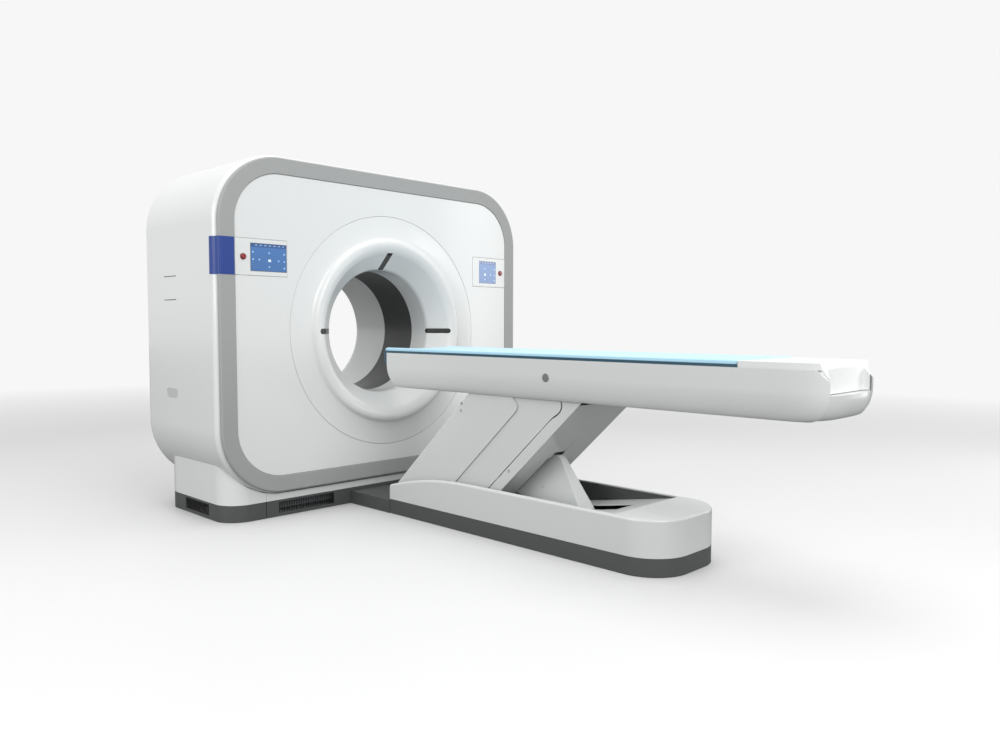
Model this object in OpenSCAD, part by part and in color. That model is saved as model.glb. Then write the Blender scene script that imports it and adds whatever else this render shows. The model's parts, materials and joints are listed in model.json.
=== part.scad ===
// Computed tomography scanner: a ring gantry with a turning tube and detector,
// and a patient table that a parallelogram lifts and that slides its cradle into the bore.
// X runs across the scanner, Y along the bore from the table to the back, Z up from the floor.
// The origin lies on the floor under the middle of the scan plane.

/* [Bore] */
// Free diameter of the patient bore
bore_d = 720; // [600:10:850]
// Height of the bore axis over the floor
bore_z = 991; // [930:1:1050]
// Distance from the front face back to the scan plane
scan_depth = 377; // [340:1:420]
// Length of the dark scan window ring
window_len = 281; // [200:1:320]
// Wall of the bore tubes
tube_wall = 4; // [3:0.5:6]

/* [Gantry covers] */
// Width over the grey bezel
bezel_w = 2124; // [2000:2:2300]
// Height of the bezel's top edge
bezel_top = 1897; // [1850:1:2000]
// Height of the bezel's bottom edge
bezel_bottom = 139; // [120:1:170]
// Outer corner radius of the bezel
bezel_r = 350; // [250:5:400]
// Width of the bezel's band
bezel_band = 87; // [60:1:120]
// Depth of the bezel frame
bezel_depth = 18; // [12:1:30]
// Depth of the gantry from front face to back face
gantry_depth = 885; // [800:5:1000]
// How far the side shell stands out past the bezel
shell_proud = 14; // [4:1:30]
// Rounding of the shell toward the bezel
shell_front_r = 42; // [20:1:60]
// Rounding of the shell at the back
shell_rear_r = 80; // [40:1:100]
// Wall of the plastic covers
cover_wall = 5; // [3:0.5:8]
// How far the front cover lies behind the bezel's face
cover_sink = 4; // [2:0.5:8]
// Diameter of the round seam between front cover and bell mouth
seam_d = 1330; // [1200:5:1400]
// Visible gap between neighbouring covers
seam_gap = 1.5; // [0.5:0.5:3]
// How far the bell mouth's ridge stands out of the front face
ridge_proud = 25; // [10:1:40]
// Radial reach of the bell mouth from bore to ridge
mouth_reach = 148; // [120:1:170]
// Distance from the front face back to where the bell mouth opens
mouth_depth = 94; // [80:1:110]
// Angle of the bell mouth's cone to the bore's axis
mouth_angle = 43; // [38:0.5:46]
// Rounding between the bore and the cone
mouth_bend_r = 40; // [15:1:60]
// Radial width of the step outside the ridge
ridge_step = 26; // [15:1:40]
// Radius of the bell mouth at the back face
rear_mouth_reach = 70; // [50:1:100]
// Depth of the flared part at the back
rear_flare_len = 88; // [60:1:120]

/* [Gantry fittings] */
// Height of the middle of the control panels
panel_z = 1372; // [1300:1:1450]
// Height of the control panels
panel_h = 190; // [150:1:220]
// Distance from the panels' inner ends to the middle plane
panel_inner = 677; // [670:1:700]
// Width of a touch screen
screen_w = 209; // [150:1:230]
// Height of a touch screen
screen_h = 144; // [100:1:170]
// Distance from the screens' inner edges to the middle plane
screen_inner = 681; // [675:1:690]
// Distance of the stop buttons from the middle plane
stop_x = 930; // [915:1:945]
// Diameter of a stop button
stop_d = 28; // [20:1:36]
// Travel of a stop button
stop_travel = 4; // [2:0.5:6]
// How far the coloured end cap stands out of the bezel
cap_proud = 2.5; // [1:0.5:4]
// How far the end cap reaches back round the side
cap_back = 70; // [50:1:90]
// Height of a laser window slot
laser_slot_h = 24; // [15:1:30]
// Width of the top laser window
laser_top_w = 38; // [25:1:50]

/* [Gantry plinth] */
// Width over the plinth
plinth_w = 2040; // [1800:5:2100]
// Distance from the front face back to the plinth
plinth_front = 40; // [30:1:60]
// Distance from the front face back to the plinth's rear
plinth_rear = 700; // [650:5:800]
// Corner radius of the plinth
plinth_r = 130; // [80:5:180]
// Height of the dark plinth band
plinth_h = 90; // [70:1:110]
// Wall of the plinth and skirt
plinth_wall = 5; // [3:0.5:8]

/* [Rotor] */
// Outer radius of the rotor
rotor_r = 770; // [740:5:780]
// Inner radius of the rotor
rotor_in = 400; // [385:1:410]
// Thickness of the rotor disc
disc_t = 30; // [20:1:40]
// Distance from the scan plane to the rotor disc
disc_y = 60; // [55:1:75]
// Reach of the rotor's rim in front of the disc
rim_len = 180; // [140:5:200]
// Radius of the tube's focus
focus_r = 595; // [570:5:620]
// Radius of the detector arc about the focus
detector_r = 1060; // [1040:5:1070]
// Half of the detector's fan angle
fan_half = 26; // [20:1:27]
// Number of balls in the rotor bearing
ball_count = 48; // [24:1:60]
// Diameter of a bearing ball
ball_d = 24; // [18:1:26]
// Pitch radius of the bearing
ball_pitch_r = 466; // [460:1:472]
// Radius of the motor pulley
pulley_r = 60; // [45:1:70]

/* [Table] */
// Height of the mattress edge at rest
top_z = 890; // [880:1:900]
// Half width of the cradle
cradle_half = 240; // [220:1:240]
// Distance from gantry face to the cradle's head end
cradle_head = 256; // [230:1:280]
// Distance from gantry face to the cradle's foot end
cradle_foot = 2736; // [2700:1:2800]
// Travel of the cradle into the bore
cradle_travel = 1650; // [1200:10:1700]
// Distance from gantry face to the mattress's foot end
mattress_foot = 2358; // [2200:1:2400]
// Thickness of the mattress
mattress_t = 20; // [10:1:30]
// Thickness of the cradle's shell
cradle_t = 14; // [8:1:20]
// How much lower the cradle's middle lies than its edges
cradle_dip = 35; // [20:1:45]
// Half width over the table's side covers
side_half = 250; // [248:1:260]
// Height of the side cover's top edge
side_top = 880; // [872:1:884]
// Height of the side cover's bottom edge
side_bottom = 690; // [680:1:700]
// Distance from gantry face to the side cover's head end
side_head = 290; // [280:1:310]
// Distance from gantry face to the side cover's foot end
side_foot = 2716; // [2690:1:2730]

/* [Table base] */
// Half width of the base
base_half = 258; // [250:1:280]
// Distance from gantry face to the base's head end
base_head = 320; // [300:1:340]
// Distance from gantry face to the base's foot end
base_foot = 2050; // [2000:5:2150]
// Corner radius at the base's foot end
base_foot_r = 200; // [120:5:240]
// Height of the base's rim
base_rim = 238; // [225:1:250]
// Height of the table's dark plinth
base_plinth_h = 73; // [60:1:80]
// Distance from gantry face to the end of the base's open top
well_foot = 1820; // [1790:1:1850]

/* [Lift] */
// Angle of the lift arms over the floor at rest
arm_angle = 43; // [40:0.5:46]
// How far the arms turn down from rest
lift_down = 22.5; // [10:0.5:23]
// How far the arms turn up from rest
lift_up = 6.5; // [0:0.5:8]
// Distance between the pivots of an arm
arm_len = 853.4; // [820:0.2:880]
// Height of the arms' lower pivots
pivot_z = 120; // [115:1:130]
// Distance from gantry face to the rear arm's lower pivot
rear_pivot = 907; // [890:1:920]
// Distance between the front and the rear arm
arm_gap = 450; // [430:1:460]
// Distance along the rear arm from its pivot to the strut's hinge
strut_at = 392.5; // [380:0.5:400]
// Radius of the arms' pivot pins
pin_r = 15; // [12:0.5:18]
// Radius of the strut's pins
strut_pin_r = 12; // [10:0.5:14]
// Radius of the lift screw
screw_r = 11; // [8:0.5:12]
// Height of the lift screw's axis
screw_z = 66; // [64:1:68]

/* [Fits] */
// Radial clearance of pins and shafts
run_fit = 0.05; // [0.02:0.01:0.1]
// Clearance between faces that slide past each other
slide_fit = 0.3; // [0.2:0.1:0.6]

/* [Hidden] */
$fn = 96;

white = [0.93, 0.94, 0.94];
grey = [0.67, 0.68, 0.67];
dark = [0.28, 0.29, 0.29];
black = [0.08, 0.08, 0.08];
steel = [0.62, 0.64, 0.66];
blue = [0.18, 0.31, 0.65];

// Gantry planes and radii that follow from the sizes above
bore_r = bore_d / 2;
front_y = -scan_depth;
rear_y = front_y + gantry_depth;
bezel_half = bezel_w / 2;
shell_half = bezel_half + shell_proud;
panel_half = bezel_half - bezel_band;
panel_r = bezel_r - bezel_band;
cover_y = front_y + cover_sink;
window_y0 = -window_len / 2;
window_y1 = window_len / 2;
seam_r = seam_d / 2;
plinth_half = plinth_w / 2;
disc_back = disc_y + disc_t;
rim_t = 30;
hub_t = 25;
hub_r = rotor_in + hub_t;
race_y0 = disc_back + 30;
race_len = 50;
race_y1 = race_y0 + race_len;
race_in_r = ball_pitch_r - ball_d / 4;
race_out_r = ball_pitch_r + ball_d / 4;
stator_bore = ball_pitch_r + 50;
hub_end = race_y1 + 45;
motor_x = -860;
motor_z = bezel_bottom + 202;
belt_w = 40;
belt_t = 5;
belt_y = -60;

// Table places; a distance d in front of the gantry face lies at y = fy(d)
function fy(d) = front_y - d;
front_pivot = rear_pivot - arm_gap;
rest_cos = cos(arm_angle);
rest_sin = sin(arm_angle);
upper_z = pivot_z + arm_len * rest_sin;
front_upper = front_pivot + arm_len * rest_cos;
rear_upper = rear_pivot + arm_len * rest_cos;
strut_head = rear_pivot + strut_at * rest_cos;
strut_head_z = pivot_z + strut_at * rest_sin;
strut_foot = rear_pivot + 2 * strut_at * rest_cos;
carriage_low = rear_pivot + 2 * strut_at * cos(arm_angle - lift_down);
carriage_high = rear_pivot + 2 * strut_at * cos(arm_angle + lift_up);
cradle_r = (cradle_half * cradle_half + cradle_dip * cradle_dip) / (2 * cradle_dip);
cradle_edge = top_z - mattress_t;
cradle_c = cradle_edge - cradle_dip + cradle_r;
runner_in = cradle_half - 16;
runner_z = cradle_c - sqrt(pow(cradle_r + cradle_t, 2) - pow(runner_in, 2)) - 1;
side_wall = 4;
rail_out = side_half - side_wall;
rail_in = rail_out - 20;
rail_bottom = side_bottom + 31;
strip_t = 3;
rail_top = runner_z - slide_fit - strip_t;
arm_in = 100;
arm_out = 120;
lug_in = 128;
lug_out = 148;
sheet_in = 204;
sheet_t = 3;
outer_sheet_in = 211;
well_half = base_half - 15;

// General shapes

// Lays a drawing whose axes are (radius, depth) round the bore's axis
module about_bore() {
  translate([0, 0, bore_z]) rotate([-90, 0, 0]) rotate_extrude($fn = 180) children();
}

// Turns what is built over the bore to a clock angle seen from the front
module at_clock(angle) {
  translate([0, 0, bore_z]) rotate([0, angle, 0]) children();
}

// Carries a section (outward, depth) round an upright rounded rectangle
module frame_sweep(half, low, high, r) {
  cx = half - r;
  centres = [[cx, low + r], [-cx, low + r], [-cx, high - r], [cx, high - r]];
  for (k = [0:3])
    translate([centres[k][0], 0, centres[k][1]]) rotate([-90, 0, 0]) rotate([0, 0, 90 * k]) {
      rotate_extrude(angle = 90) translate([r, 0]) children();
      rotate([90, 0, 0]) linear_extrude(k % 2 == 0 ? high - low - 2 * r : 2 * cx)
        translate([r, 0]) children();
    }
}

// Rectangle from corner to corner with round corners
module round_rect(x0, x1, y0, y1, r) {
  translate([x0 + r, y0]) square([x1 - x0 - 2 * r, y1 - y0]);
  translate([x0, y0 + r]) square([x1 - x0, y1 - y0 - 2 * r]);
  for (x = [x0 + r, x1 - r], y = [y0 + r, y1 - r]) translate([x, y]) circle(r);
}

// Plate parallel to the gantry's face, drawn in (x, z)
module upright(y0, t) {
  translate([0, y0 + t, 0]) rotate([90, 0, 0]) linear_extrude(t) children();
}

// Draws in (distance from the gantry face, height), extruded across the table
module side_view(width) {
  translate([0, front_y, 0]) rotate([90, 0, -90]) linear_extrude(width, center = true) children();
}

// The same drawing as two plates between the distances x_in and x_out from the middle
module side_pair(x_in, x_out) {
  for (x = [x_in, -x_out])
    translate([-x, front_y, 0]) rotate([90, 0, -90]) linear_extrude(x_out - x_in) children();
}

// Moves a drawing (along the arm, toward its upper side) to an arm at rest
module on_arm(pivot) {
  translate([pivot, pivot_z]) rotate(arm_angle) children();
}

// Round bar across the table at a distance and height
module cross_bar(d, z, r, half) {
  side_view(2 * half) translate([d, z]) circle(r);
}

// Table outline in plan with small round corners at the head and large ones at the foot
module plan(half, head, foot, head_r, foot_r) {
  translate([-half, fy(foot) + foot_r]) square([2 * half, foot - head - foot_r - head_r]);
  translate([-half + head_r, fy(head) - head_r]) square([2 * (half - head_r), head_r]);
  translate([-half + foot_r, fy(foot)]) square([2 * (half - foot_r), foot_r]);
  for (s = [-1, 1]) {
    translate([s * (half - head_r), fy(head) - head_r]) circle(head_r);
    translate([s * (half - foot_r), fy(foot) + foot_r]) circle(foot_r);
  }
}

// Gantry base

base_rail_y = [front_y + plinth_front + 60, front_y + plinth_rear - 140];
base_rail_w = 80;
base_rail_top = 110;
foot_h = 30;
foot_x = 900;

module gantry_base_frame() {
  color(steel) difference() {
    union() {
      for (y = base_rail_y)
        translate([-foot_x - 60, y, foot_h]) cube([2 * foot_x + 120, base_rail_w, base_rail_top - foot_h]);
      for (x = [-820, -40, 740])
        translate([x, base_rail_y[0] + base_rail_w, foot_h])
          cube([80, base_rail_y[1] - base_rail_y[0] - base_rail_w, base_rail_top - foot_h]);
      // pad that rests on the floor under the scan plane
      translate([-60, -60, 0]) cube([120, 120, foot_h + 5]);
    }
    for (x = [-foot_x, foot_x], y = base_rail_y)
      translate([x, y + base_rail_w / 2, foot_h - 1]) cylinder(r = 11, h = base_rail_top);
  }
}

module gantry_feet() {
  color(black) for (x = [-foot_x, foot_x], y = base_rail_y)
    translate([x, y + base_rail_w / 2, 0]) {
      cylinder(r = 50, h = 14);
      translate([0, 0, 14]) cylinder(r = 22, h = foot_h - 14);
      translate([0, 0, foot_h]) cylinder(r = 11 - run_fit, h = 70);
    }
}

// Outline of the plinth in plan, inset by a distance
module plinth_plan(inset) {
  round_rect(-plinth_half + inset, plinth_half - inset, front_y + plinth_front + inset,
             front_y + plinth_rear - inset, plinth_r - inset);
}

front_vent_x = [375, 725];
side_vent_d = [245, 515];
vent_z0 = 18;
vent_z1 = 78;
duct_half = 262;

module vent_boxes(grow) {
  for (s = [-1, 1]) {
    x0 = s > 0 ? front_vent_x[0] : -front_vent_x[1];
    translate([x0 - grow, front_y + plinth_front - 1, vent_z0 - grow])
      cube([front_vent_x[1] - front_vent_x[0] + 2 * grow, plinth_wall + 2, vent_z1 - vent_z0 + 2 * grow]);
    translate([s > 0 ? plinth_half - plinth_wall - 1 : -plinth_half - 1,
               front_y + side_vent_d[0] - grow, vent_z0 - grow])
      cube([plinth_wall + 2, side_vent_d[1] - side_vent_d[0] + 2 * grow, vent_z1 - vent_z0 + 2 * grow]);
  }
}

module plinth_band() {
  color(dark) difference() {
    linear_extrude(plinth_h) difference() {
      plinth_plan(0);
      plinth_plan(plinth_wall);
    }
    vent_boxes(0);
    for (s = [-1, 1])
      translate([s * 800 - 1.5, front_y + plinth_front - 1, -1]) cube([3, 2.5, plinth_h + 2]);
  }
}

// Upright slats that fill the vent openings
module plinth_grilles() {
  slat = 5;
  pitch = 15;
  color(black) for (s = [-1, 1]) {
    x0 = s > 0 ? front_vent_x[0] : -front_vent_x[1];
    y0 = front_y + plinth_front + plinth_wall;
    z_mid = (vent_z0 + vent_z1) / 2;
    run = front_vent_x[1] - front_vent_x[0];
    for (z = [vent_z0 - 8, vent_z1 + 2])
      translate([x0 - 10, y0, z]) cube([run + 20, 4, 6]);
    for (x = [-10:pitch:run + 5])
      translate([x0 + x, y0, vent_z0 - 2]) cube([slat, 4, vent_z1 - vent_z0 + 4]);
    depth = side_vent_d[1] - side_vent_d[0];
    xs = s > 0 ? plinth_half - plinth_wall - 4 : -plinth_half + plinth_wall;
    for (z = [vent_z0 - 8, vent_z1 + 2])
      translate([xs, front_y + side_vent_d[0] - 10, z]) cube([4, depth + 20, 6]);
    for (y = [-10:pitch:depth + 5])
      translate([xs, front_y + side_vent_d[0] + y, vent_z0 - 2]) cube([4, slat, vent_z1 - vent_z0 + 4]);
  }
}

// White skirt between the plinth band and the rounded underside of the shell
module skirt_cover() {
  color(white) difference() {
    translate([0, 0, plinth_h]) linear_extrude(bezel_r) difference() {
      plinth_plan(0);
      plinth_plan(plinth_wall);
    }
    upright(front_y - 1, gantry_depth + 2)
      round_rect(-shell_half - slide_fit, shell_half + slide_fit, bezel_bottom - shell_proud - slide_fit,
                 bezel_top, bezel_r + shell_proud);
    for (s = [-1, 1])
      translate([s * 800 - 1.5, front_y + plinth_front - 1, plinth_h - 1]) cube([3, 2.5, 60]);
  }
}

// Gantry covers

// Section (outward, depth) of the shell, shrunk by a wall; 0 gives its outside
module shell_outline(inset) {
  u = shell_proud - inset;
  rf = shell_front_r - inset;
  rr = shell_rear_r - inset;
  y0 = front_y + bezel_depth;
  y1 = rear_y - inset;
  reach = bezel_band + shell_proud;
  translate([shell_proud - reach, y0 + shell_front_r]) square([reach - inset, y1 - rr - y0 - shell_front_r]);
  translate([shell_proud - reach, y1 - rr]) square([reach - inset - rr, rr]);
  intersection() {
    translate([u - rr, y1 - rr]) circle(rr);
    translate([u - rr, y1 - rr]) square([rr + 1, rr + 1]);
  }
  intersection() {
    translate([u - rf, y0 + shell_front_r]) circle(rf);
    translate([u - rf, y0 - 1]) square([rf + 1, shell_front_r + 2]);
  }
  translate([shell_proud - reach, y0 - 1]) square([reach - shell_front_r, shell_front_r + 2]);
}

module shell_section() {
  difference() {
    shell_outline(0);
    shell_outline(cover_wall);
    translate([-2 * bezel_band, front_y]) square([4 * bezel_band, bezel_depth]);
    translate([-2 * bezel_band, front_y]) square([2 * bezel_band - shell_front_r + shell_proud + 4,
                                                  gantry_depth - shell_rear_r]);
  }
}

slit_d = [456, 602];
slit_z = [1159, 1285];
slit_h = 4;
latch_d = [462, 596];
latch_z = [631, 681];

module outer_shell() {
  color(white) difference() {
    frame_sweep(bezel_half, bezel_bottom, bezel_top, bezel_r) shell_section();
    // opening in the floor of the shell for the frame and its services
    translate([-860, front_y + 90, bezel_bottom - 60]) cube([1720, plinth_rear - 130, 90]);
    // service slits and latch pockets in both sides
    for (s = [-1, 1]) {
      for (z = slit_z)
        translate([s * shell_half - 20, front_y + slit_d[0], z - slit_h / 2])
          cube([40, slit_d[1] - slit_d[0], slit_h]);
      translate([s * shell_half, 0, 0]) rotate([0, 90, 0]) linear_extrude(40, center = true)
        round_rect(-latch_z[1], -latch_z[0], front_y + latch_d[0], front_y + latch_d[1], 24);
    }
  }
}

module side_latches() {
  color(grey) for (s = [-1, 1]) {
    x0 = s > 0 ? shell_half - 12 : -shell_half + 2;
    translate([x0, 0, 0]) rotate([0, 90, 0]) linear_extrude(10)
      round_rect(-latch_z[1] + slide_fit, -latch_z[0] - slide_fit, front_y + latch_d[0] + slide_fit,
                 front_y + latch_d[1] - slide_fit, 24 - slide_fit);
  }
}

module front_bezel() {
  color(grey) frame_sweep(bezel_half, bezel_bottom, bezel_top, bezel_r) difference() {
    union() {
      translate([-bezel_band, front_y + 10]) square([bezel_band, bezel_depth - 10]);
      translate([-bezel_band, front_y + 3]) square([bezel_band - 10, 8]);
      translate([-bezel_band + 3, front_y]) square([bezel_band - 13, 4]);
      translate([-bezel_band + 3, front_y + 3]) circle(3);
      translate([-10, front_y + 10]) circle(10);
    }
    translate([0, front_y - 1]) square([5, gantry_depth]);
    translate([-bezel_band + cover_wall, front_y + cover_wall])
      square([bezel_band - 2 * cover_wall, bezel_depth]);
  }
}

// Outline of the openings for the two control panels, grown by a distance
module panel_rect(s, grow) {
  x0 = s > 0 ? panel_inner : -panel_half - 5;
  x1 = s > 0 ? panel_half + 5 : -panel_inner;
  translate([x0 - grow, panel_z - panel_h / 2 - grow]) square([x1 - x0 + 2 * grow, panel_h + 2 * grow]);
}

// Outline of the field inside the bezel, inset by a distance
module field_outline(inset) {
  round_rect(-panel_half + inset, panel_half - inset, bezel_bottom + bezel_band + inset,
             bezel_top - bezel_band - inset, panel_r - inset);
}

module front_cover() {
  color(white) difference() {
    union() {
      upright(cover_y, cover_wall) difference() {
        field_outline(seam_gap);
        translate([0, bore_z]) circle(seam_r + seam_gap);
      }
      // turned rim that stiffens the cover behind the bezel
      upright(cover_y + cover_wall, 30) difference() {
        field_outline(seam_gap);
        field_outline(seam_gap + cover_wall);
      }
    }
    for (s = [-1, 1]) upright(cover_y - 1, 60) panel_rect(s, 0);
  }
}

// The bell mouth leaves the bore in a bend, opens as a cone and turns over a round ridge
mouth_len = mouth_depth + ridge_proud;
ridge_turn = (mouth_reach * cos(mouth_angle) - mouth_len * sin(mouth_angle)) / (1 - sin(mouth_angle));
bend_y = front_y + mouth_depth + mouth_bend_r * tan(mouth_angle / 2);

// Points of an arc from angle a0 to a1 about a centre
function arc(c, r, a0, a1, steps) =
  [for (i = [0:steps]) let (a = a0 + (a1 - a0) * i / steps) c + r * [cos(a), sin(a)]];

// Line of the mouth's face moved into its wall, from the scan window to the ridge
function mouth_line(wall) = concat([[bore_r + wall, window_y0]],
  arc([bore_r + mouth_bend_r, bend_y], mouth_bend_r - wall, 180, 180 + mouth_angle, 4),
  arc([bore_r + mouth_reach, front_y - ridge_proud + ridge_turn], ridge_turn - wall, 180 + mouth_angle, 270, 5));

function reversed(list) = [for (i = [len(list) - 1:-1:0]) list[i]];

module mouth_profile(wall) {
  ridge_r = bore_r + mouth_reach;
  outer_y = front_y - ridge_proud;
  foot_r = ridge_r + ridge_step + 14;
  polygon(concat(
    mouth_line(0),
    [[ridge_r + ridge_step * 0.45, outer_y + 3], [ridge_r + ridge_step, outer_y + ridge_proud * 0.55],
     [foot_r, outer_y + ridge_proud * 0.78], [seam_r - 30, cover_y - 0.8], [seam_r, cover_y],
     [seam_r, cover_y + wall], [foot_r + 4, cover_y + wall], [ridge_r + ridge_step - 4, outer_y + ridge_proud],
     [ridge_r + ridge_step * 0.45 - 4, outer_y + 3 + wall]],
    reversed(mouth_line(wall))));
}

laser_side_d = [-21, 107];
laser_side_r = [bore_r - 20, bore_r + 124];
laser_top_d = [-8, 94];

// Prisms that cut the window slots; grow is negative for the windows themselves
module laser_slots(grow) {
  h = laser_slot_h / 2 + grow;
  y0 = front_y + laser_side_d[0] - grow;
  y1 = front_y + laser_side_d[1] + grow;
  for (s = [-1, 1])
    translate([s > 0 ? laser_side_r[0] : -laser_side_r[1], 0, bore_z]) rotate([0, 90, 0])
      linear_extrude(laser_side_r[1] - laser_side_r[0]) {
      translate([-h, y0 + h]) square([2 * h, y1 - y0 - 2 * h]);
      for (y = [y0 + h, y1 - h]) translate([0, y]) circle(h);
    }
  translate([-laser_top_w / 2 - grow, front_y + laser_top_d[0] - grow, bore_z + bore_r - 20])
    cube([laser_top_w + 2 * grow, laser_top_d[1] - laser_top_d[0] + 2 * grow, 180]);
}

module bell_mouth() {
  color(white) difference() {
    union() {
      about_bore() mouth_profile(tube_wall);
      // flange that screws to the back of the front cover
      about_bore() translate([seam_r - 10, cover_y + tube_wall]) square([10, cover_wall - tube_wall]);
      about_bore() translate([seam_r - 10, cover_y + cover_wall]) square([35, 4]);
    }
    laser_slots(0);
  }
}

module laser_windows() {
  color(black) intersection() {
    laser_slots(-slide_fit);
    about_bore() translate([0, 1.5]) mouth_profile(tube_wall - 1);
  }
}

module scan_window() {
  color(dark) about_bore() translate([bore_r, window_y0]) square([tube_wall, window_len]);
}

module rear_flare() {
  color(white) about_bore() {
    steps = 8;
    y0 = rear_y - rear_flare_len;
    polygon(concat(
      [[bore_r, window_y1]],
      [for (i = [0:steps]) let (t = 90 * i / steps)
        [bore_r + rear_mouth_reach * (1 - cos(t)), y0 + rear_flare_len * sin(t)]],
      [[bore_r + rear_mouth_reach + 30, rear_y], [bore_r + rear_mouth_reach + 30, rear_y - cover_wall]],
      [for (i = [steps:-1:0]) let (t = 90 * i / steps)
        [bore_r + tube_wall + (rear_mouth_reach - tube_wall) * (1 - cos(t)),
         y0 + (rear_flare_len - cover_wall) * sin(t)]],
      [[bore_r + tube_wall, window_y1]]));
  }
}

module rear_cover() {
  edge = shell_rear_r - shell_proud + seam_gap;
  reach = bezel_band;
  color(white) difference() {
    union() {
      upright(rear_y - cover_wall, cover_wall)
        round_rect(-bezel_half + reach + seam_gap, bezel_half - reach - seam_gap,
                   bezel_bottom + reach + seam_gap, bezel_top - reach - seam_gap, bezel_r - reach - seam_gap);
      upright(rear_y - 2 * cover_wall, cover_wall)
        round_rect(-bezel_half + edge + 4, bezel_half - edge - 4, bezel_bottom + edge + 4,
                   bezel_top - edge - 4, bezel_r - edge - 4);
    }
    upright(rear_y - 3 * cover_wall, 4 * cover_wall) translate([0, bore_z])
      circle(bore_r + rear_mouth_reach + 30 + seam_gap);
    // cable and service grilles low in the rear cover
    for (x = [-600, 420], z = [0:22:130])
      translate([x, rear_y - 3 * cover_wall, 330 + z]) cube([180, 4 * cover_wall, 9]);
  }
}

// Control panels and what they carry

module panel_plate(s) {
  color(white) difference() {
    upright(cover_y - 1, cover_wall) difference() {
      intersection() {
        panel_rect(s, -seam_gap);
        field_outline(seam_gap);
      }
      screen_rect(s, 0);
      translate([s * stop_x, panel_z]) circle(stop_d / 2 + slide_fit);
    }
  }
  // backing plate that joins the panel to the front cover
  color(white) upright(cover_y + cover_wall, 4) difference() {
    translate([s > 0 ? panel_inner - 14 : -panel_half + 12, panel_z - panel_h / 2 - 14])
      square([panel_half - panel_inner + 2, panel_h + 28]);
    screen_rect(s, -8);
    translate([s * stop_x, panel_z]) circle(stop_d / 2 + slide_fit);
  }
}

module screen_rect(s, grow) {
  x0 = s > 0 ? screen_inner : -screen_inner - screen_w;
  translate([x0 - grow, panel_z - screen_h / 2 - grow]) square([screen_w + 2 * grow, screen_h + 2 * grow]);
}

module control_panels() for (s = [-1, 1]) panel_plate(s);

module screen_plate(s) {
  color(blue) upright(cover_y - 1.5, cover_wall + 0.5) screen_rect(s, -slide_fit);
}

module touch_screens() for (s = [-1, 1]) screen_plate(s);

module stop_button(s) {
  color("darkred") translate([s * stop_x, 0, panel_z]) rotate([-90, 0, 0]) rotate_extrude()
    polygon([[0, cover_y - 9], [stop_d / 2 - 4, cover_y - 8.5], [stop_d / 2 - 0.5, cover_y - 6.5],
             [stop_d / 2, cover_y - 4], [stop_d / 2, cover_y + cover_wall + 2],
             [5, cover_y + cover_wall + 2], [5, cover_y + cover_wall + 18], [0, cover_y + cover_wall + 18]]);
}

module stop_button_left() stop_button(-1);
module stop_button_right() stop_button(1);

// Section of the bezel's front and outer side, grown outward
module bezel_grown(grow) {
  translate([-2 * bezel_band, front_y - grow]) square([2 * bezel_band - 10, bezel_depth + 2 * grow]);
  translate([-2 * bezel_band, front_y + 10]) square([2 * bezel_band + grow, bezel_depth - 10 + grow]);
  translate([-10, front_y + 10]) circle(10 + grow);
}

// Section of the shell beside the bezel, grown outward
module shell_grown(grow) {
  y0 = front_y + bezel_depth + shell_front_r;
  translate([-2 * bezel_band, y0]) square([2 * bezel_band + shell_proud + grow, cap_back + 20]);
  translate([shell_proud - shell_front_r, y0]) circle(shell_front_r + grow);
}

// Coloured cap that wraps the bezel and the shell beside the left panel
module end_cap() {
  z0 = panel_z - panel_h / 2 + 1;
  color(blue) translate([-bezel_half, 0, z0]) mirror([1, 0, 0]) linear_extrude(panel_h - 2) difference() {
    intersection() {
      union() {
        bezel_grown(cap_proud);
        shell_grown(cap_proud);
        translate([-30, front_y + 12]) square([30 + cap_proud, bezel_depth + 6]);
      }
      translate([-bezel_band + 4, front_y - cap_proud]) square([2 * bezel_band, cap_back + cap_proud]);
    }
    bezel_grown(slide_fit);
    shell_grown(slide_fit);
    translate([-2 * bezel_band, front_y]) square([2 * bezel_band - 30, cap_back + 1]);
  }
}

// Frame, bearing and rotor

outrigger_x = panel_half - 10;
outrigger_z = [500, 1500];

module stator_frame() {
  y0 = race_y0 - 5;
  t = race_len + 10;
  color(steel) difference() {
    union() {
      upright(y0, t) {
        translate([0, bore_z]) circle(stator_bore + 90);
        polygon([[-820, base_rail_top], [820, base_rail_top], [820, 240], [stator_bore + 60, bore_z - 180],
                 [-stator_bore - 60, bore_z - 180], [-820, 240]]);
      }
      // foot plate across the base rails
      translate([-820, base_rail_y[0], base_rail_top]) cube([1640, base_rail_y[1] + base_rail_w - base_rail_y[0], 14]);
      // outriggers that hold the covers, front and back
      for (s = [-1, 1], z = outrigger_z) {
        translate([s > 0 ? 740 : -outrigger_x, y0 + 10, z]) cube([outrigger_x - 740, 30, 40]);
        translate([s > 0 ? outrigger_x - 35 : -outrigger_x, cover_y + cover_wall, z])
          cube([35, rear_y - 2 * cover_wall - cover_y - cover_wall, 40]);
      }
      for (s = [-1, 1]) translate([s > 0 ? 560 : -760, y0 + 10, 300]) cube([200, 30, 1340]);
    }
    upright(y0 - 1, t + 2) translate([0, bore_z]) circle(stator_bore);
    for (s = [-1, 1]) upright(y0 - 1, t + 2) translate([s * 480, 300]) circle(110);
  }
}

// Race with a round groove for the balls; in and out are its radii
module race(r0, r1) {
  color("silver") about_bore() difference() {
    translate([r0, race_y0]) square([r1 - r0, race_len]);
    translate([ball_pitch_r, (race_y0 + race_y1) / 2]) circle(ball_d / 2 + slide_fit);
  }
}

module bearing_outer_race() race(race_out_r, stator_bore);
module bearing_inner_race() race(hub_r, race_in_r);

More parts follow.
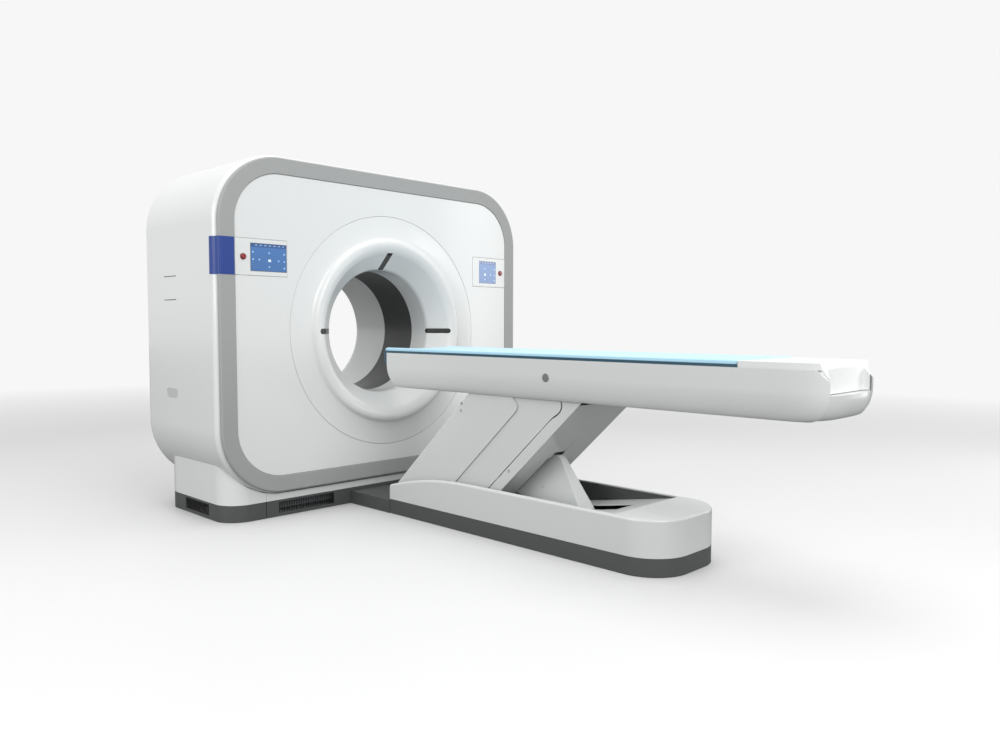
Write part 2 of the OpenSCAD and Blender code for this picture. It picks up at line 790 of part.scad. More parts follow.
// Balls held by the two rings of their cage
module bearing_balls() {
  y = (race_y0 + race_y1) / 2;
  color("silver") for (i = [0:ball_count - 1])
    at_clock(360 * i / ball_count) translate([0, y, ball_pitch_r]) sphere(d = ball_d);
  color("tan") about_bore() for (s = [-1, 1])
    translate([ball_pitch_r - 4, y + s * (ball_d / 2 + 0.1) - (s < 0 ? 4 : 0)]) square([8, 4]);
}

module rotor_drum() {
  color(steel) difference() {
    about_bore() {
      translate([rotor_in, disc_y]) square([rotor_r - rotor_in, disc_t]);
      translate([rotor_r - rim_t, disc_y - rim_len]) square([rim_t, rim_len]);
      translate([rotor_in, disc_back]) square([hub_t, hub_end - disc_back]);
    }
    for (a = [22.5:45:360]) at_clock(a) upright(disc_y - 1, disc_t + 2) translate([0, 480]) circle(36);
  }
}

// Block on the front of the rotor disc between two radii
module rotor_block(angle, width, r0, r1, len) {
  at_clock(angle) translate([-width / 2, disc_y - len, r0]) cube([width, len, r1 - r0]);
}

module xray_tube() {
  r = focus_r + 45;
  color("silver") at_clock(0) translate([0, disc_y, r]) rotate([90, 0, 0]) {
    cylinder(r = 88, h = 205);
    translate([0, 0, 205]) cylinder(r1 = 88, r2 = 60, h = 25);
    translate([0, 0, 230]) cylinder(r = 22, h = 20);
  }
  rotor_mount(0, 170, r - 88 - 14, r - 70);
}

// Foot that clamps a unit to the disc
module rotor_mount(angle, width, r0, r1) {
  color("silver") rotor_block(angle, width, r0, r1, 40);
}

module collimator() {
  color(dark) difference() {
    rotor_block(0, 170, 430, focus_r + 45 - 88 - 14, 130);
    // beam slot, widening with the fan
    at_clock(0) translate([0, -22, 0]) rotate([-90, 0, 0]) linear_extrude(44)
      polygon([[-12, -focus_r], [12, -focus_r], [70, -400], [-70, -400]]);
  }
}

module detector_arc() {
  at_clock(180) translate([0, disc_y - 120, -focus_r]) rotate([-90, 0, 0]) {
    color(dark) rotate([0, 0, -90 - fan_half]) rotate_extrude(angle = 2 * fan_half, $fn = 180)
      translate([detector_r, 0]) square([60, 120]);
    // module boards round the back of the arc
    color("darkgreen") for (a = [-fan_half + 2:4:fan_half - 1])
      rotate([0, 0, -90 + a]) translate([detector_r + 59.5, -22, 20]) cube([22, 44, 80]);
  }
}

module high_voltage_unit() {
  color("lightgrey") {
    rotor_block(72, 290, 445, 700, 190);
    for (x = [-80, 80]) at_clock(72) translate([x, disc_y - 190, 570]) rotate([90, 0, 0]) cylinder(r = 26, h = 18);
  }
}

module heat_exchanger() {
  color("silver") {
    rotor_block(-72, 290, 445, 560, 150);
    for (i = [0:11]) rotor_block(-72, 290, 566 + 12 * i, 570 + 12 * i, 150);
    for (x = [-141, 141]) at_clock(-72) translate([x - 4, disc_y - 150, 560]) cube([8, 150, 144]);
  }
}

module balance_weights() {
  color(dark) for (a = [36, -36], k = [0:2])
    rotor_block(a, 150, 560 + 48 * k, 600 + 48 * k, 90 - 15 * k);
}

slip_y0 = hub_end - 25;
slip_r = 540;
brush_gap = 0.5;

module slip_ring() {
  color("goldenrod") about_bore() difference() {
    translate([hub_r, slip_y0]) square([slip_r - hub_r, 25]);
    for (r = [hub_r + 20:12:slip_r - 14]) translate([r, hub_end - 4]) square([4, 5]);
  }
}

module brush_block() {
  color(dark) at_clock(-60) {
    translate([-50, hub_end + brush_gap, hub_r + 14]) cube([100, 45, slip_r - hub_r + 20]);
    translate([-50, race_y1 + 5, slip_r + 14]) cube([100, hub_end - race_y1 - 5 + brush_gap, 20]);
  }
}

motor_dist = sqrt(motor_x * motor_x + pow(bore_z - motor_z, 2));
belt_turn = atan2(bore_z - motor_z, motor_x);
belt_gap = slide_fit;

module drive_motor() {
  y0 = belt_y + belt_w + 12;
  color(dark) {
    translate([motor_x, y0, motor_z]) rotate([-90, 0, 0]) cylinder(r = 72, h = race_y0 - y0 - 30);
    // motor plate fixed to the stator's outrigger
    translate([motor_x - 80, race_y0 - 30, motor_z - 80]) cube([240, 25, 160]);
  }
}

module motor_pulley() {
  color(steel) translate([motor_x, belt_y - 5, motor_z]) rotate([-90, 0, 0]) {
    cylinder(r = pulley_r, h = belt_w + 10);
    cylinder(r = 14, h = belt_w + 10 + 6.5);
  }
}

// Flat belt: an arc on the rotor's rim, an arc on the pulley and two straight runs.
// In the drawing the pulley lies straight out along +x from the rotor's axis.
module drive_belt() {
  r0 = rotor_r + belt_gap;
  r1 = pulley_r + belt_gap;
  wrap = asin((r0 - r1) / motor_dist);
  run = motor_dist * cos(wrap);
  color(black) translate([0, belt_y, bore_z]) rotate([-90, 0, 0]) rotate([0, 0, belt_turn]) {
    rotate([0, 0, 90 - wrap]) rotate_extrude(angle = 180 + 2 * wrap, $fn = 180)
      translate([r0, 0]) square([belt_t, belt_w]);
    translate([motor_dist, 0, 0]) rotate([0, 0, -90 + wrap]) rotate_extrude(angle = 180 - 2 * wrap)
      translate([r1, 0]) square([belt_t, belt_w]);
    for (m = [0, 1]) mirror([0, m, 0]) rotate([0, 0, 90 - wrap])
      translate([r0, -run, 0]) cube([belt_t, run, belt_w]);
  }
}

module floor_duct() {
  color(dark) translate([-duct_half, fy(base_head), 0]) difference() {
    cube([2 * duct_half, base_head + plinth_front, base_plinth_h]);
    translate([4, -1, -1]) cube([2 * duct_half - 8, base_head + plinth_front + 2, base_plinth_h - 3]);
  }
}

// Table base

plate_z = 20;

module table_plinth() {
  color(dark) linear_extrude(base_plinth_h) difference() {
    plan(base_half, base_head, base_foot, 30, base_foot_r);
    plan(base_half - 4, base_head + 4, base_foot - 4, 26, base_foot_r - 4);
  }
}

module table_base_cover() {
  wall = 4;
  slope_from = 900;
  slope = 0.108;
  color(white) difference() {
    translate([0, 0, base_plinth_h]) linear_extrude(base_rim - base_plinth_h)
      plan(base_half, base_head, base_foot, 30, base_foot_r);
    translate([0, 0, base_plinth_h - 1]) linear_extrude(base_rim - base_plinth_h - wall + 1)
      plan(base_half - wall, base_head + wall, base_foot - wall, 30 - wall, base_foot_r - wall);
    translate([-well_half, fy(well_foot), base_rim - wall - 1])
      cube([2 * well_half, well_foot - base_head - wall, wall + 2]);
    side_view(2 * base_half + 2) polygon([[slope_from, base_rim],
      [base_head - 20, base_rim - slope * (slope_from - base_head + 20)], [base_head - 20, base_rim + 9],
      [slope_from, base_rim + 9]]);
  }
}

ramp_slope = 0.172;
ramp_top = base_rim - 4;
ramp_end = 1260;
ramp_slot_half = 72;
ramp_slot_foot = 1700;
function ramp_z(d) = ramp_top - ramp_slope * (well_foot - d);

// Sloping floor of the base's well, with a slot for the strut
module base_ramp() {
  color(grey) difference() {
    union() {
      side_view(2 * well_half - 2) polygon([[well_foot + 20, ramp_top], [well_foot, ramp_top],
        [ramp_end, ramp_z(ramp_end)], [ramp_end, ramp_z(ramp_end) - 4], [well_foot, ramp_top - 4],
        [well_foot + 20, ramp_top - 4]]);
      // legs that stand on the base plate
      for (d = [ramp_end + 10, well_foot - 30])
        side_pair(170, 178) polygon([[d, plate_z], [d + 28, plate_z], [d + 28, ramp_z(d + 28) - 3.5],
          [d, ramp_z(d) - 3.5]]);
    }
    translate([-ramp_slot_half, fy(ramp_slot_foot), 0])
      cube([2 * ramp_slot_half, ramp_slot_foot - ramp_end + 10, base_rim]);
  }
}

anchor_x = 190;
anchor_d = [420, 1900];
anchor_r = 9;
screw_near = strut_foot - 135;
screw_far = carriage_low + 95;
guide_in = 80;
guide_out = 100;
guide_top = 60;
block_t = 20;

module table_base_frame() {
  color(steel) difference() {
    union() {
      translate([0, 0, 6]) linear_extrude(plate_z - 6) plan(base_half - 12, base_head + 12, base_foot - 60, 20, 150);
      translate([0, 0, 0]) linear_extrude(6) {
        for (s = [-1, 1], d = anchor_d) translate([s * anchor_x, fy(d)]) circle(40);
      }
    }
    for (s = [-1, 1], d = anchor_d) translate([s * anchor_x, fy(d), -1]) cylinder(r = anchor_r, h = 40);
  }
  // what follows is bolted down on the plate: pivot lugs, bearing blocks of the screw, guide rails
  seat = plate_z + run_fit;
  color(steel) for (p = [front_pivot, rear_pivot]) difference() {
    side_pair(lug_in, lug_out) {
      translate([p, pivot_z]) circle(34);
      polygon([[p - 60, seat], [p + 60, seat], [p + 34, pivot_z], [p - 34, pivot_z]]);
    }
    cross_bar(p, pivot_z, pin_r + run_fit, lug_out + 1);
  }
  color(steel) difference() {
    for (d = [screw_near, screw_far - block_t]) side_view(64) translate([d, seat])
      square([block_t, screw_z + 24 - seat]);
    translate([0, front_y - screw_near + 1, screw_z]) rotate([90, 0, 0])
      cylinder(r = screw_r + run_fit, h = screw_far - screw_near + 2);
  }
  color(steel) side_pair(guide_in, guide_out) translate([screw_near, seat])
    square([screw_far - screw_near, guide_top - seat]);
  // fixed pins of the two lower pivots
  color("silver") for (p = [front_pivot, rear_pivot]) cross_bar(p, pivot_z, pin_r, lug_out + 4);
}

module lift_motor() {
  d0 = screw_far + 8;
  color(dark) {
    translate([0, fy(d0), screw_z]) rotate([90, 0, 0]) cylinder(r = 44, h = 150);
    side_view(80) translate([d0 + 20, plate_z]) square([110, screw_z - plate_z]);
  }
}

module lift_screw() {
  color("silver") translate([0, fy(screw_near - 4), screw_z]) rotate([90, 0, 0]) {
    cylinder(r = screw_r, h = screw_far - screw_near + 4 + 7);
  }
}

ear_in = 22;
ear_out = 34;
carriage_half = 45;
screen_d = [46, 196];

module lift_carriage() {
  top = guide_top + slide_fit;
  color(steel) difference() {
    union() {
      side_pair(ear_out - 2, guide_out) translate([strut_foot - carriage_half, top])
        square([2 * carriage_half, 12]);
      side_view(2 * ear_out) translate([strut_foot - carriage_half, screw_z - 18])
        square([2 * carriage_half, 32]);
      side_pair(ear_in, ear_out) {
        translate([strut_foot, pivot_z]) circle(strut_eye);
        translate([strut_foot - strut_eye, screw_z]) square([2 * strut_eye, pivot_z - screw_z]);
      }
      // shutter under the ramp's slot
      side_pair(ear_out - 2, guide_out) translate([strut_foot + carriage_half - 1, top])
        square([screen_d[0] + 16 - carriage_half, 12]);
      side_pair(ear_out - 2, ear_out + 4) translate([strut_foot + screen_d[0], top])
        square([14, ramp_z(strut_foot + screen_d[0]) - 24 - top]);
      side_view(2 * ramp_slot_half + 16) polygon([for (p = [[screen_d[0], 22], [screen_d[1], 22],
        [screen_d[1], 25], [screen_d[0], 25]]) [strut_foot + p[0], ramp_z(strut_foot + p[0]) - p[1]]]);
    }
    translate([0, fy(strut_foot) + carriage_half + 1, screw_z]) rotate([90, 0, 0])
      cylinder(r = screw_r + run_fit, h = 2 * carriage_half + 2);
    cross_bar(strut_foot, pivot_z, strut_pin_r + run_fit, ear_out + 1);
  }
  color("silver") cross_bar(strut_foot, pivot_z, strut_pin_r, ear_out + 3);
}

// Strut, arms and their covers

link_half = 15;
strut_eye = 18;

// Straight link with an eye at each end, drawn from the first eye along the x axis
module link_shape(len, eye, half) {
  circle(eye);
  translate([len, 0]) circle(eye);
  translate([0, -half]) square([len, 2 * half]);
}

module strut() {
  color(steel) difference() {
    side_view(2 * link_half) translate([strut_foot, pivot_z]) rotate(180 - arm_angle)
      link_shape(strut_at, strut_eye, 14);
    cross_bar(strut_foot, pivot_z, strut_pin_r + run_fit, 50);
    cross_bar(strut_head, strut_head_z, strut_pin_r + run_fit, 50);
  }
}

// Outline of the wedge that covers the strut; its lower edge stays over the floor when the table is down
module wedge_outline() {
  low = arm_angle - lift_down;
  floor_gap = pivot_z - 32;
  q0 = floor_gap / cos(low);
  k = tan(low);
  along = [-rest_cos, rest_sin];
  down = [-rest_sin, -rest_cos];
  f = [strut_foot, pivot_z];
  polygon([f + [30, -24], f + [27, 0], [strut_head + 141, strut_head_z], [strut_head + 120, strut_head_z + 16],
           [strut_head - 10, strut_head_z + 22], [strut_head - 24, strut_head_z],
           f + along * strut_at * 0.9 + down * (q0 + k * strut_at * 0.9),
           f + along * 78 + down * 40, f + along * 20 + down * 40]);
}

// Half width of the wedge, wide at the foot and narrow at the top
module wedge_front(inset) {
  z0 = 0;
  z1 = strut_head_z + 60;
  w0 = 78 - inset;
  w1 = 78 - 0.149 * z1 - inset;
  translate([0, fy(0), 0]) rotate([90, 0, 0]) linear_extrude(2500)
    polygon([[-w0, z0], [w0, z0], [w1, z1], [-w1, z1]]);
}

module strut_cover() {
  wall = 3;
  color(white) difference() {
    intersection() {
      side_view(200) wedge_outline();
      wedge_front(0);
    }
    // hollow inside, open toward the gantry and below
    intersection() {
      side_view(200) translate([-wall / sin(57), 0]) wedge_outline();
      wedge_front(wall);
    }
    side_view(200) translate([strut_foot - 320, -10]) square([300, 10]);
    cross_bar(strut_head, strut_head_z, strut_eye + 3, 100);
    // open underside for the screw and the carriage
    wedge_bottom();
  }
  // two spacers hold the cover on the strut
  color(white) for (t = [0.35, 0.62]) difference() {
    side_pair(link_half, 60) translate([strut_foot - t * strut_at * rest_cos, pivot_z + t * strut_at * rest_sin])
      circle(9);
    difference() {
      side_view(300) square([3000, 900]);
      wedge_front(1);
    }
  }
}

module wedge_bottom() {
  intersection() {
    side_view(200) translate([0, -12]) wedge_outline();
    wedge_front(3);
  }
}

// Upper edge line of the arm covers, hidden inside the table at rest
cover_top = upper_z + 18;

module arm_shape(lugs) {
  link_shape(arm_len, 40, 34);
  for (s = lugs) translate([s - 25, 0]) square([50, 100]);
}

front_lugs = [0.22 * arm_len, 0.72 * arm_len];
standoff_p = 86;

module front_arm() {
  color(steel) difference() {
    union() {
      side_pair(arm_in, arm_out) on_arm(front_pivot) arm_shape(front_lugs);
      // ties between the plates and rods to the cover
      side_view(2 * arm_in) on_arm(front_pivot) for (s = front_lugs) translate([s, 0]) circle(22);
      side_pair(arm_out, outer_sheet_in) on_arm(front_pivot) for (s = front_lugs)
        translate([s, standoff_p]) circle(8);
    }
    cross_bar(front_pivot, pivot_z, pin_r + run_fit, 300);
    cross_bar(front_upper, upper_z, pin_r + run_fit, 300);
  }
}

module rear_arm() {
  tie = 0.75 * arm_len;
  color(steel) difference() {
    union() {
      side_pair(arm_in, arm_out) on_arm(rear_pivot) link_shape(arm_len, 40, 34);
      side_view(2 * arm_in) on_arm(rear_pivot) translate([tie, 0]) circle(22);
      side_view(2 * arm_in) on_arm(rear_pivot) circle(28);
      side_pair(arm_out, sheet_in) on_arm(rear_pivot) for (s = [0.28 * arm_len, tie])
        translate([s, 0]) circle(22);
    }
    cross_bar(rear_pivot, pivot_z, pin_r + run_fit, 300);
    cross_bar(rear_upper, upper_z, pin_r + run_fit, 300);
    cross_bar(strut_head, strut_head_z, strut_pin_r + run_fit, 300);
  }
  color("silver") cross_bar(strut_head, strut_head_z, strut_pin_r, arm_out + 3);
}

front_reach = 110;
seam1 = -150;

// Side sheet of the front arm's cover, drawn in the arm's own axes
module front_sheet() {
  top = cover_top - pivot_z;
  function s_at(p) = (top - p * rest_cos) / rest_sin;
  hook = 0.056 * arm_len;
  polygon([[-60, front_reach], [-60, 0], [30, -30], [200, seam1], [s_at(seam1) - 2.9 * hook, seam1],
           [s_at(seam1) - 2.35 * hook, seam1 + 12], [s_at(seam1 + 60) - hook, seam1 + 60],
           [s_at(seam1 + 100), seam1 + 100], [s_at(front_reach), front_reach]]);
}

module front_arm_cover() {
  color(white) {
    side_pair(outer_sheet_in, outer_sheet_in + sheet_t) on_arm(front_pivot) front_sheet();
    side_view(2 * outer_sheet_in) on_arm(front_pivot) intersection() {
      front_sheet();
      translate([-200, front_reach - sheet_t]) square([2 * arm_len, sheet_t]);
    }
  }
}

seam2_gap = 3;
rear_reach = 59;
rear_wall_t = 3;

module middle_cover() {
  top = cover_top - pivot_z;
  function s_at(p) = (top - p * rest_cos) / rest_sin;
  front = arm_gap * rest_sin + seam1 + 24;
  color(white) side_pair(sheet_in, sheet_in + sheet_t) on_arm(rear_pivot)
    polygon([[20, 0], [140, front], [s_at(front + 45) - 40, front], [s_at(front + 45), front + 45],
             [s_at(0) + 14, 0], [s_at(0) - 60, 0]]);
}

slot_end = strut_at + 195;
slot_half = 58;

module rear_arm_cover() {
  top = cover_top - pivot_z;
  function s_at(p) = (top - p * rest_cos) / rest_sin;
  color(white) difference() {
    union() {
      side_pair(sheet_in, sheet_in + sheet_t) on_arm(rear_pivot)
        polygon([[20, -seam2_gap], [150, -rear_reach], [s_at(-rear_reach) - 6, -rear_reach],
                 [s_at(-seam2_gap), -seam2_gap]]);
      side_view(2 * sheet_in) on_arm(rear_pivot)
        translate([150, -rear_reach]) square([s_at(-rear_reach) - 156, rear_wall_t]);
    }
    // long slot for the strut, narrow where only its tip passes
    side_slot(0, strut_at + 70, slot_half);
    side_slot(strut_at + 60, slot_end, 40);
  }
}

module side_slot(s0, s1, half) {
  side_view(2 * half) on_arm(rear_pivot) translate([s0, -rear_reach - 5]) square([s1 - s0, 12]);
}

shutter_s = [strut_at + 104, strut_at + 104 + 126];

// Plate that slides up inside the rear arm's cover and keeps its slot closed
module slot_shutter() {
  color(white) side_view(100) on_arm(rear_pivot)
    translate([shutter_s[0], -rear_reach + rear_wall_t + slide_fit]) square([shutter_s[1] - shutter_s[0], 3]);
}

// Table

strap_z = [765, 785];
drive_d = 600;

module table_frame() {
  color(steel) difference() {
    union() {
      side_pair(rail_in, rail_out) translate([side_head + 50, rail_bottom])
        square([side_foot - 166 - side_head, rail_top - rail_bottom]);
      for (d = [front_upper, rear_upper]) {
        side_view(2 * rail_in) translate([d - 30, strap_z[0]]) square([60, strap_z[1] - strap_z[0]]);
        side_pair(lug_in, lug_out) {
          translate([d, upper_z]) circle(32);
          translate([d - 30, upper_z]) square([60, strap_z[0] + 5 - upper_z]);
        }
      }
      for (d = [side_head + 60, 1720, 2140, 2560])
        side_view(2 * rail_in) translate([d, rail_bottom]) square([40, strap_z[1] - rail_bottom]);
      // carrier of the cradle's drive roller
      side_view(2 * rail_in) translate([drive_d - 40, rail_bottom]) square([80, 24]);
      side_pair(52, 62) translate([drive_d - 20, rail_bottom]) square([40, drive_z + 14 - rail_bottom]);
    }
    for (p = [front_upper, rear_upper]) cross_bar(p, upper_z, pin_r + run_fit, 300);
    cross_bar(drive_d, drive_z, drive_shaft_r + run_fit, 66);
    // pocket for the release button
    translate([-rail_out - 1, fy(button_d), button_z]) rotate([0, 90, 0]) cylinder(r = button_r + 1, h = 13);
  }
  color("silver") for (p = [front_upper, rear_upper]) cross_bar(p, upper_z, pin_r, lug_out + 4);
}

drive_r = 22;
drive_shaft_r = 6;
drive_z = cradle_c - cradle_r - cradle_t - slide_fit - drive_r;
button_d = 1433;
button_z = 794;
button_r = 19;

// Low-friction strips on the rails, under the cradle's runners
module slide_strips() {
  color(black) side_pair(rail_in, runner_in + 14) translate([side_head + 50, rail_top])
    square([side_foot - 166 - side_head, strip_t]);
}

// Driven roller under the middle of the cradle
module drive_roller() {
  color(dark) cross_bar(drive_d, drive_z, drive_r, 48);
  color("silver") cross_bar(drive_d, drive_z, drive_shaft_r, 64);
}

// Outline of the side covers seen from the side
module side_outline(inset) {
  t = side_top;
  b = side_bottom + inset;
  h = side_head + inset;
  f = side_foot - inset;
  r = 44 - inset;
  difference() {
    translate([h, b]) square([f - h, t - b]);
    // head end leans under the table and turns into its underside
    polygon([[h - 10, t - 8], [h, t - 8], [h + 24, b + r + 10], [h + 24, b - 10], [h - 10, b - 10]]);
    difference() {
      translate([h + 20, b - 10]) square([r + 14, r + 10]);
      translate([h + 24 + r, b + r]) circle(r);
      translate([h + 24 + r, b - 20]) square([60, 100]);
    }
    // foot end: chamfer above, round below
    polygon([[f - 31, t + 1], [f + 1, t - 49], [f + 1, t + 1]]);
    polygon([[f + 1, b + 95], [f, b + 95], [f - 22, b + 50], [f - 22, b - 1], [f + 1, b - 1]]);
    difference() {
      translate([f - 72, b - 10]) square([60, 62]);
      translate([f - 72, b + 50]) circle(50);
    }
  }
}

// Section of the trough across the table, shrunk by a wall
module trough_section(inset) {
  half = side_half - inset;
  b = side_bottom + inset;
  r = 30 - inset;
  translate([-half, b + r]) square([2 * half, side_top - b - r + 1]);
  translate([-half + r, b]) square([2 * (half - r), r]);
  for (s = [-1, 1]) translate([s * (half - r), b + r]) circle(r);
}

module trough_solid(inset) {
  intersection() {
    side_view(600) side_outline(inset);
    translate([0, front_y, 0]) rotate([90, 0, 0]) linear_extrude(3000) trough_section(inset);
  }
}

module table_side_cover() {
  color(white) difference() {
    trough_solid(0);
    trough_solid(side_wall);
    // the foot end is open between the side walls
    translate([-rail_out, fy(side_foot + 10), side_bottom - 1]) cube([2 * rail_out, 110, 200]);
    // open top; the cradle runs over the low head wall
    translate([-rail_out, fy(side_foot + 10), strap_z[1] + 20]) cube([2 * rail_out, side_foot, 200]);
    // opening in the underside for the lift arms
    translate([-219, fy(1650), side_bottom - 1]) cube([438, 950, 20]);
    translate([-side_half - 1, fy(button_d), button_z]) rotate([0, 90, 0])
      cylinder(r = button_r + slide_fit, h = 10);
  }
}

module release_button() {
  color(dark) translate([-side_half - 3, fy(button_d), button_z]) rotate([0, 90, 0]) {
    cylinder(r1 = button_r - 2, r2 = button_r, h = 2);
    translate([0, 0, 2]) cylinder(r = button_r, h = 9);
  }
}

// Side outline of the foot bumper, shrunk by a wall
module bumper_outline(inset) {
  f = side_foot + 6 - inset;
  r = 70 - inset;
  intersection() {
    union() {
      translate([side_foot - 98, side_bottom + inset]) square([104 - 70, bumper_h]);
      translate([f - r, side_bottom + 70]) circle(r);
      translate([f - r, side_bottom + 70]) square([r, bumper_h]);
    }
    translate([side_foot - 100, side_bottom - 1]) square([200, bumper_h + 1]);
  }
}

bumper_h = 96;

module foot_bumper() {
  color(white) difference() {
    intersection() {
      side_view(2 * rail_out - 1) bumper_outline(0);
      translate([0, 0, side_bottom - 5]) linear_extrude(200)
        plan(rail_out - slide_fit, side_foot - 104, side_foot + 6, 5, 60);
    }
    intersection() {
      side_view(2 * rail_out - 1) translate([-6, 6]) bumper_outline(6);
      translate([0, 0, side_bottom - 5]) linear_extrude(200)
        plan(rail_out - 8, side_foot - 120, side_foot, 5, 54);
    }
  }
}

module cradle_section() {
  intersection() {
    difference() {
      translate([0, cradle_c]) circle(cradle_r + cradle_t);
      translate([0, cradle_c]) circle(cradle_r);
    }
    translate([-cradle_half, cradle_c - cradle_r - 40]) square([2 * cradle_half, 80]);
  }
  for (x = [runner_in, -cradle_half]) translate([x, runner_z]) square([cradle_half - runner_in, 14]);
}

module cradle() {
  color(dark) difference() {
    translate([0, fy(cradle_head), 0]) rotate([90, 0, 0])
      linear_extrude(cradle_foot - 96 - cradle_head) cradle_section();
    for (s = [-1, 1]) translate([0, fy(cradle_head), 0]) tip_corner(s, 24);
  }
}

// Corner cutter for the round tips of cradle and mattress
module tip_corner(s, r) {
  translate([s * (cradle_half - r), -r, cradle_edge - 200]) linear_extrude(400) difference() {
    translate([s > 0 ? 0 : -r - 1, 0]) square([r + 1, r + 1]);
    circle(r);
  }
}

module mattress() {
  half = cradle_half - 2;
  color("lightblue") difference() {
    translate([0, fy(cradle_head + 2), 0]) rotate([90, 0, 0])
      linear_extrude(mattress_foot - cradle_head - 2) intersection() {
        difference() {
          translate([0, cradle_c]) circle(cradle_r - slide_fit);
          translate([0, cradle_c]) circle(cradle_r - mattress_t);
        }
        translate([-half, cradle_c - cradle_r - 40]) square([2 * half, 120]);
      }
    for (s = [-1, 1]) translate([0, fy(cradle_head + 2), 0]) tip_corner(s, 24);
  }
}

// Moulded foot piece of the cradle with a pull recess in its end
module cradle_end_cover() {
  low = strap_z[1] + 3;
  upper = runner_z + 4;
  head = mattress_foot + 2;
  color(white) difference() {
    union() {
      translate([0, 0, cradle_edge - 6]) linear_extrude(top_z + 8 - cradle_edge + 6)
        plan(cradle_half - 1, head, cradle_foot, 4, 60);
      translate([0, 0, runner_z + 14]) linear_extrude(cradle_edge - 2 - runner_z - 14)
        plan(cradle_half - 1, cradle_foot - 96, cradle_foot, 4, 60);
      translate([0, 0, low]) linear_extrude(runner_z + 18 - low)
        plan(200, cradle_foot - 96, cradle_foot - 20, 4, 40);
    }
    // underside follows the cradle
    translate([0, fy(head - 1), 0]) rotate([90, 0, 0]) linear_extrude(cradle_foot - 96 - head + 1)
      difference() {
        translate([-300, cradle_edge - 60]) square([600, 60]);
        translate([0, cradle_c]) circle(cradle_r - slide_fit);
      }
    translate([-185, fy(cradle_foot + 1), low - 1]) cube([370, 61, top_z - 22 - low]);
  }
}

gantry_base_frame();
gantry_feet();
plinth_band();
plinth_grilles();
skirt_cover();
outer_shell();
front_bezel();
front_cover();
bell_mouth();
scan_window();
rear_flare();
rear_cover();
laser_windows();
control_panels();
touch_screens();
stop_button_left();
stop_button_right();
end_cap();
side_latches();
stator_frame();
bearing_outer_race();
bearing_balls();
bearing_inner_race();
rotor_drum();
xray_tube();
collimator();
detector_arc();
high_voltage_unit();
heat_exchanger();
balance_weights();
slip_ring();
brush_block();
drive_motor();
motor_pulley();
drive_belt();
floor_duct();
table_plinth();
table_base_cover();
base_ramp();
table_base_frame();
lift_motor();
lift_screw();
lift_carriage();
strut();
strut_cover();
slot_shutter();
front_arm();
front_arm_cover();
rear_arm();
middle_cover();
rear_arm_cover();
table_frame();
slide_strips();
drive_roller();
table_side_cover();
foot_bumper();
release_button();
cradle();
mattress();
cradle_end_cover();
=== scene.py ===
import bmesh
import bpy
import json
import math
from bpy.props import FloatProperty, FloatVectorProperty, IntProperty, PointerProperty
from mathutils import Matrix, Vector


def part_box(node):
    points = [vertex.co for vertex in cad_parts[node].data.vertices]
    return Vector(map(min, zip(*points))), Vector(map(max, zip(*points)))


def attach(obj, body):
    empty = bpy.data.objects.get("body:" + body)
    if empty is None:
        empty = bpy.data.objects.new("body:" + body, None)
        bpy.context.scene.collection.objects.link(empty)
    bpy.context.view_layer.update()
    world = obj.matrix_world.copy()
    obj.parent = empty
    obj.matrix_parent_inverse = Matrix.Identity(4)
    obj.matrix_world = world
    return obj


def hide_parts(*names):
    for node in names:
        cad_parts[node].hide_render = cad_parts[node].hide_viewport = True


bl_info = {
    "name": "CT Scanner",
    "version": (1, 0, 0),
    "blender": (4, 5, 0),
    "location": "View3D > Sidebar > CT Scanner",
    "description": "Dresses the frame of a computed tomography scanner and sets its studio",
    "category": "Object",
}

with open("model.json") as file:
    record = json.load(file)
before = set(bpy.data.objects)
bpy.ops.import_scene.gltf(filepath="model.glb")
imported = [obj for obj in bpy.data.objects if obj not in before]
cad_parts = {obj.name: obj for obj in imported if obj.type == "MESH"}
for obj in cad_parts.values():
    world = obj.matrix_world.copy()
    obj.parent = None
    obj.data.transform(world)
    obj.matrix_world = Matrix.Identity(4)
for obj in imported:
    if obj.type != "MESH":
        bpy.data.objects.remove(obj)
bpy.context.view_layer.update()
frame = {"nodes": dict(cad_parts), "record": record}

# Places that the frame gives: lowest and highest corners of its nodes, in metres
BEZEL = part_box("front_bezel")
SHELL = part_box("outer_shell")
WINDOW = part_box("scan_window")
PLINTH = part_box("plinth_band")
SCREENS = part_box("touch_screens")
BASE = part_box("table_base_cover")
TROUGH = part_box("table_side_cover")
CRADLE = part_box("cradle")
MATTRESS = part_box("mattress")
FOOT_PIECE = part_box("cradle_end_cover")
FACE = BEZEL[0].y
BORE_Z = (WINDOW[0].z + WINDOW[1].z) / 2
MM = 0.001
SCREEN_INNER = 0.681        # distance of the screens' inner edges from the middle plane
RIGHT_SCREEN_CUT = 0.055    # how much narrower the right screen is
TRACK_PITCH = 0.012         # from one track of the slip ring to the next
REAR_LIP = 0.030            # flat lip round the flare at the back


def at(distance):
    """Y of a place that lies a distance in front of the gantry's face."""
    return FACE - distance


def srgb(red, green, blue):
    """Linear colour of screen values from 0 to 255."""
    return tuple((v / 3294.6) if v <= 10 else ((v / 255 + 0.055) / 1.055) ** 2.4 for v in (red, green, blue))


# Sizes and colours that a user may change

def metres(name, default, description):
    return FloatProperty(name=name, description=description, default=default, unit="LENGTH")


def tint(name, screen_values, description):
    return FloatVectorProperty(name=name, description=description, subtype="COLOR", default=srgb(*screen_values))


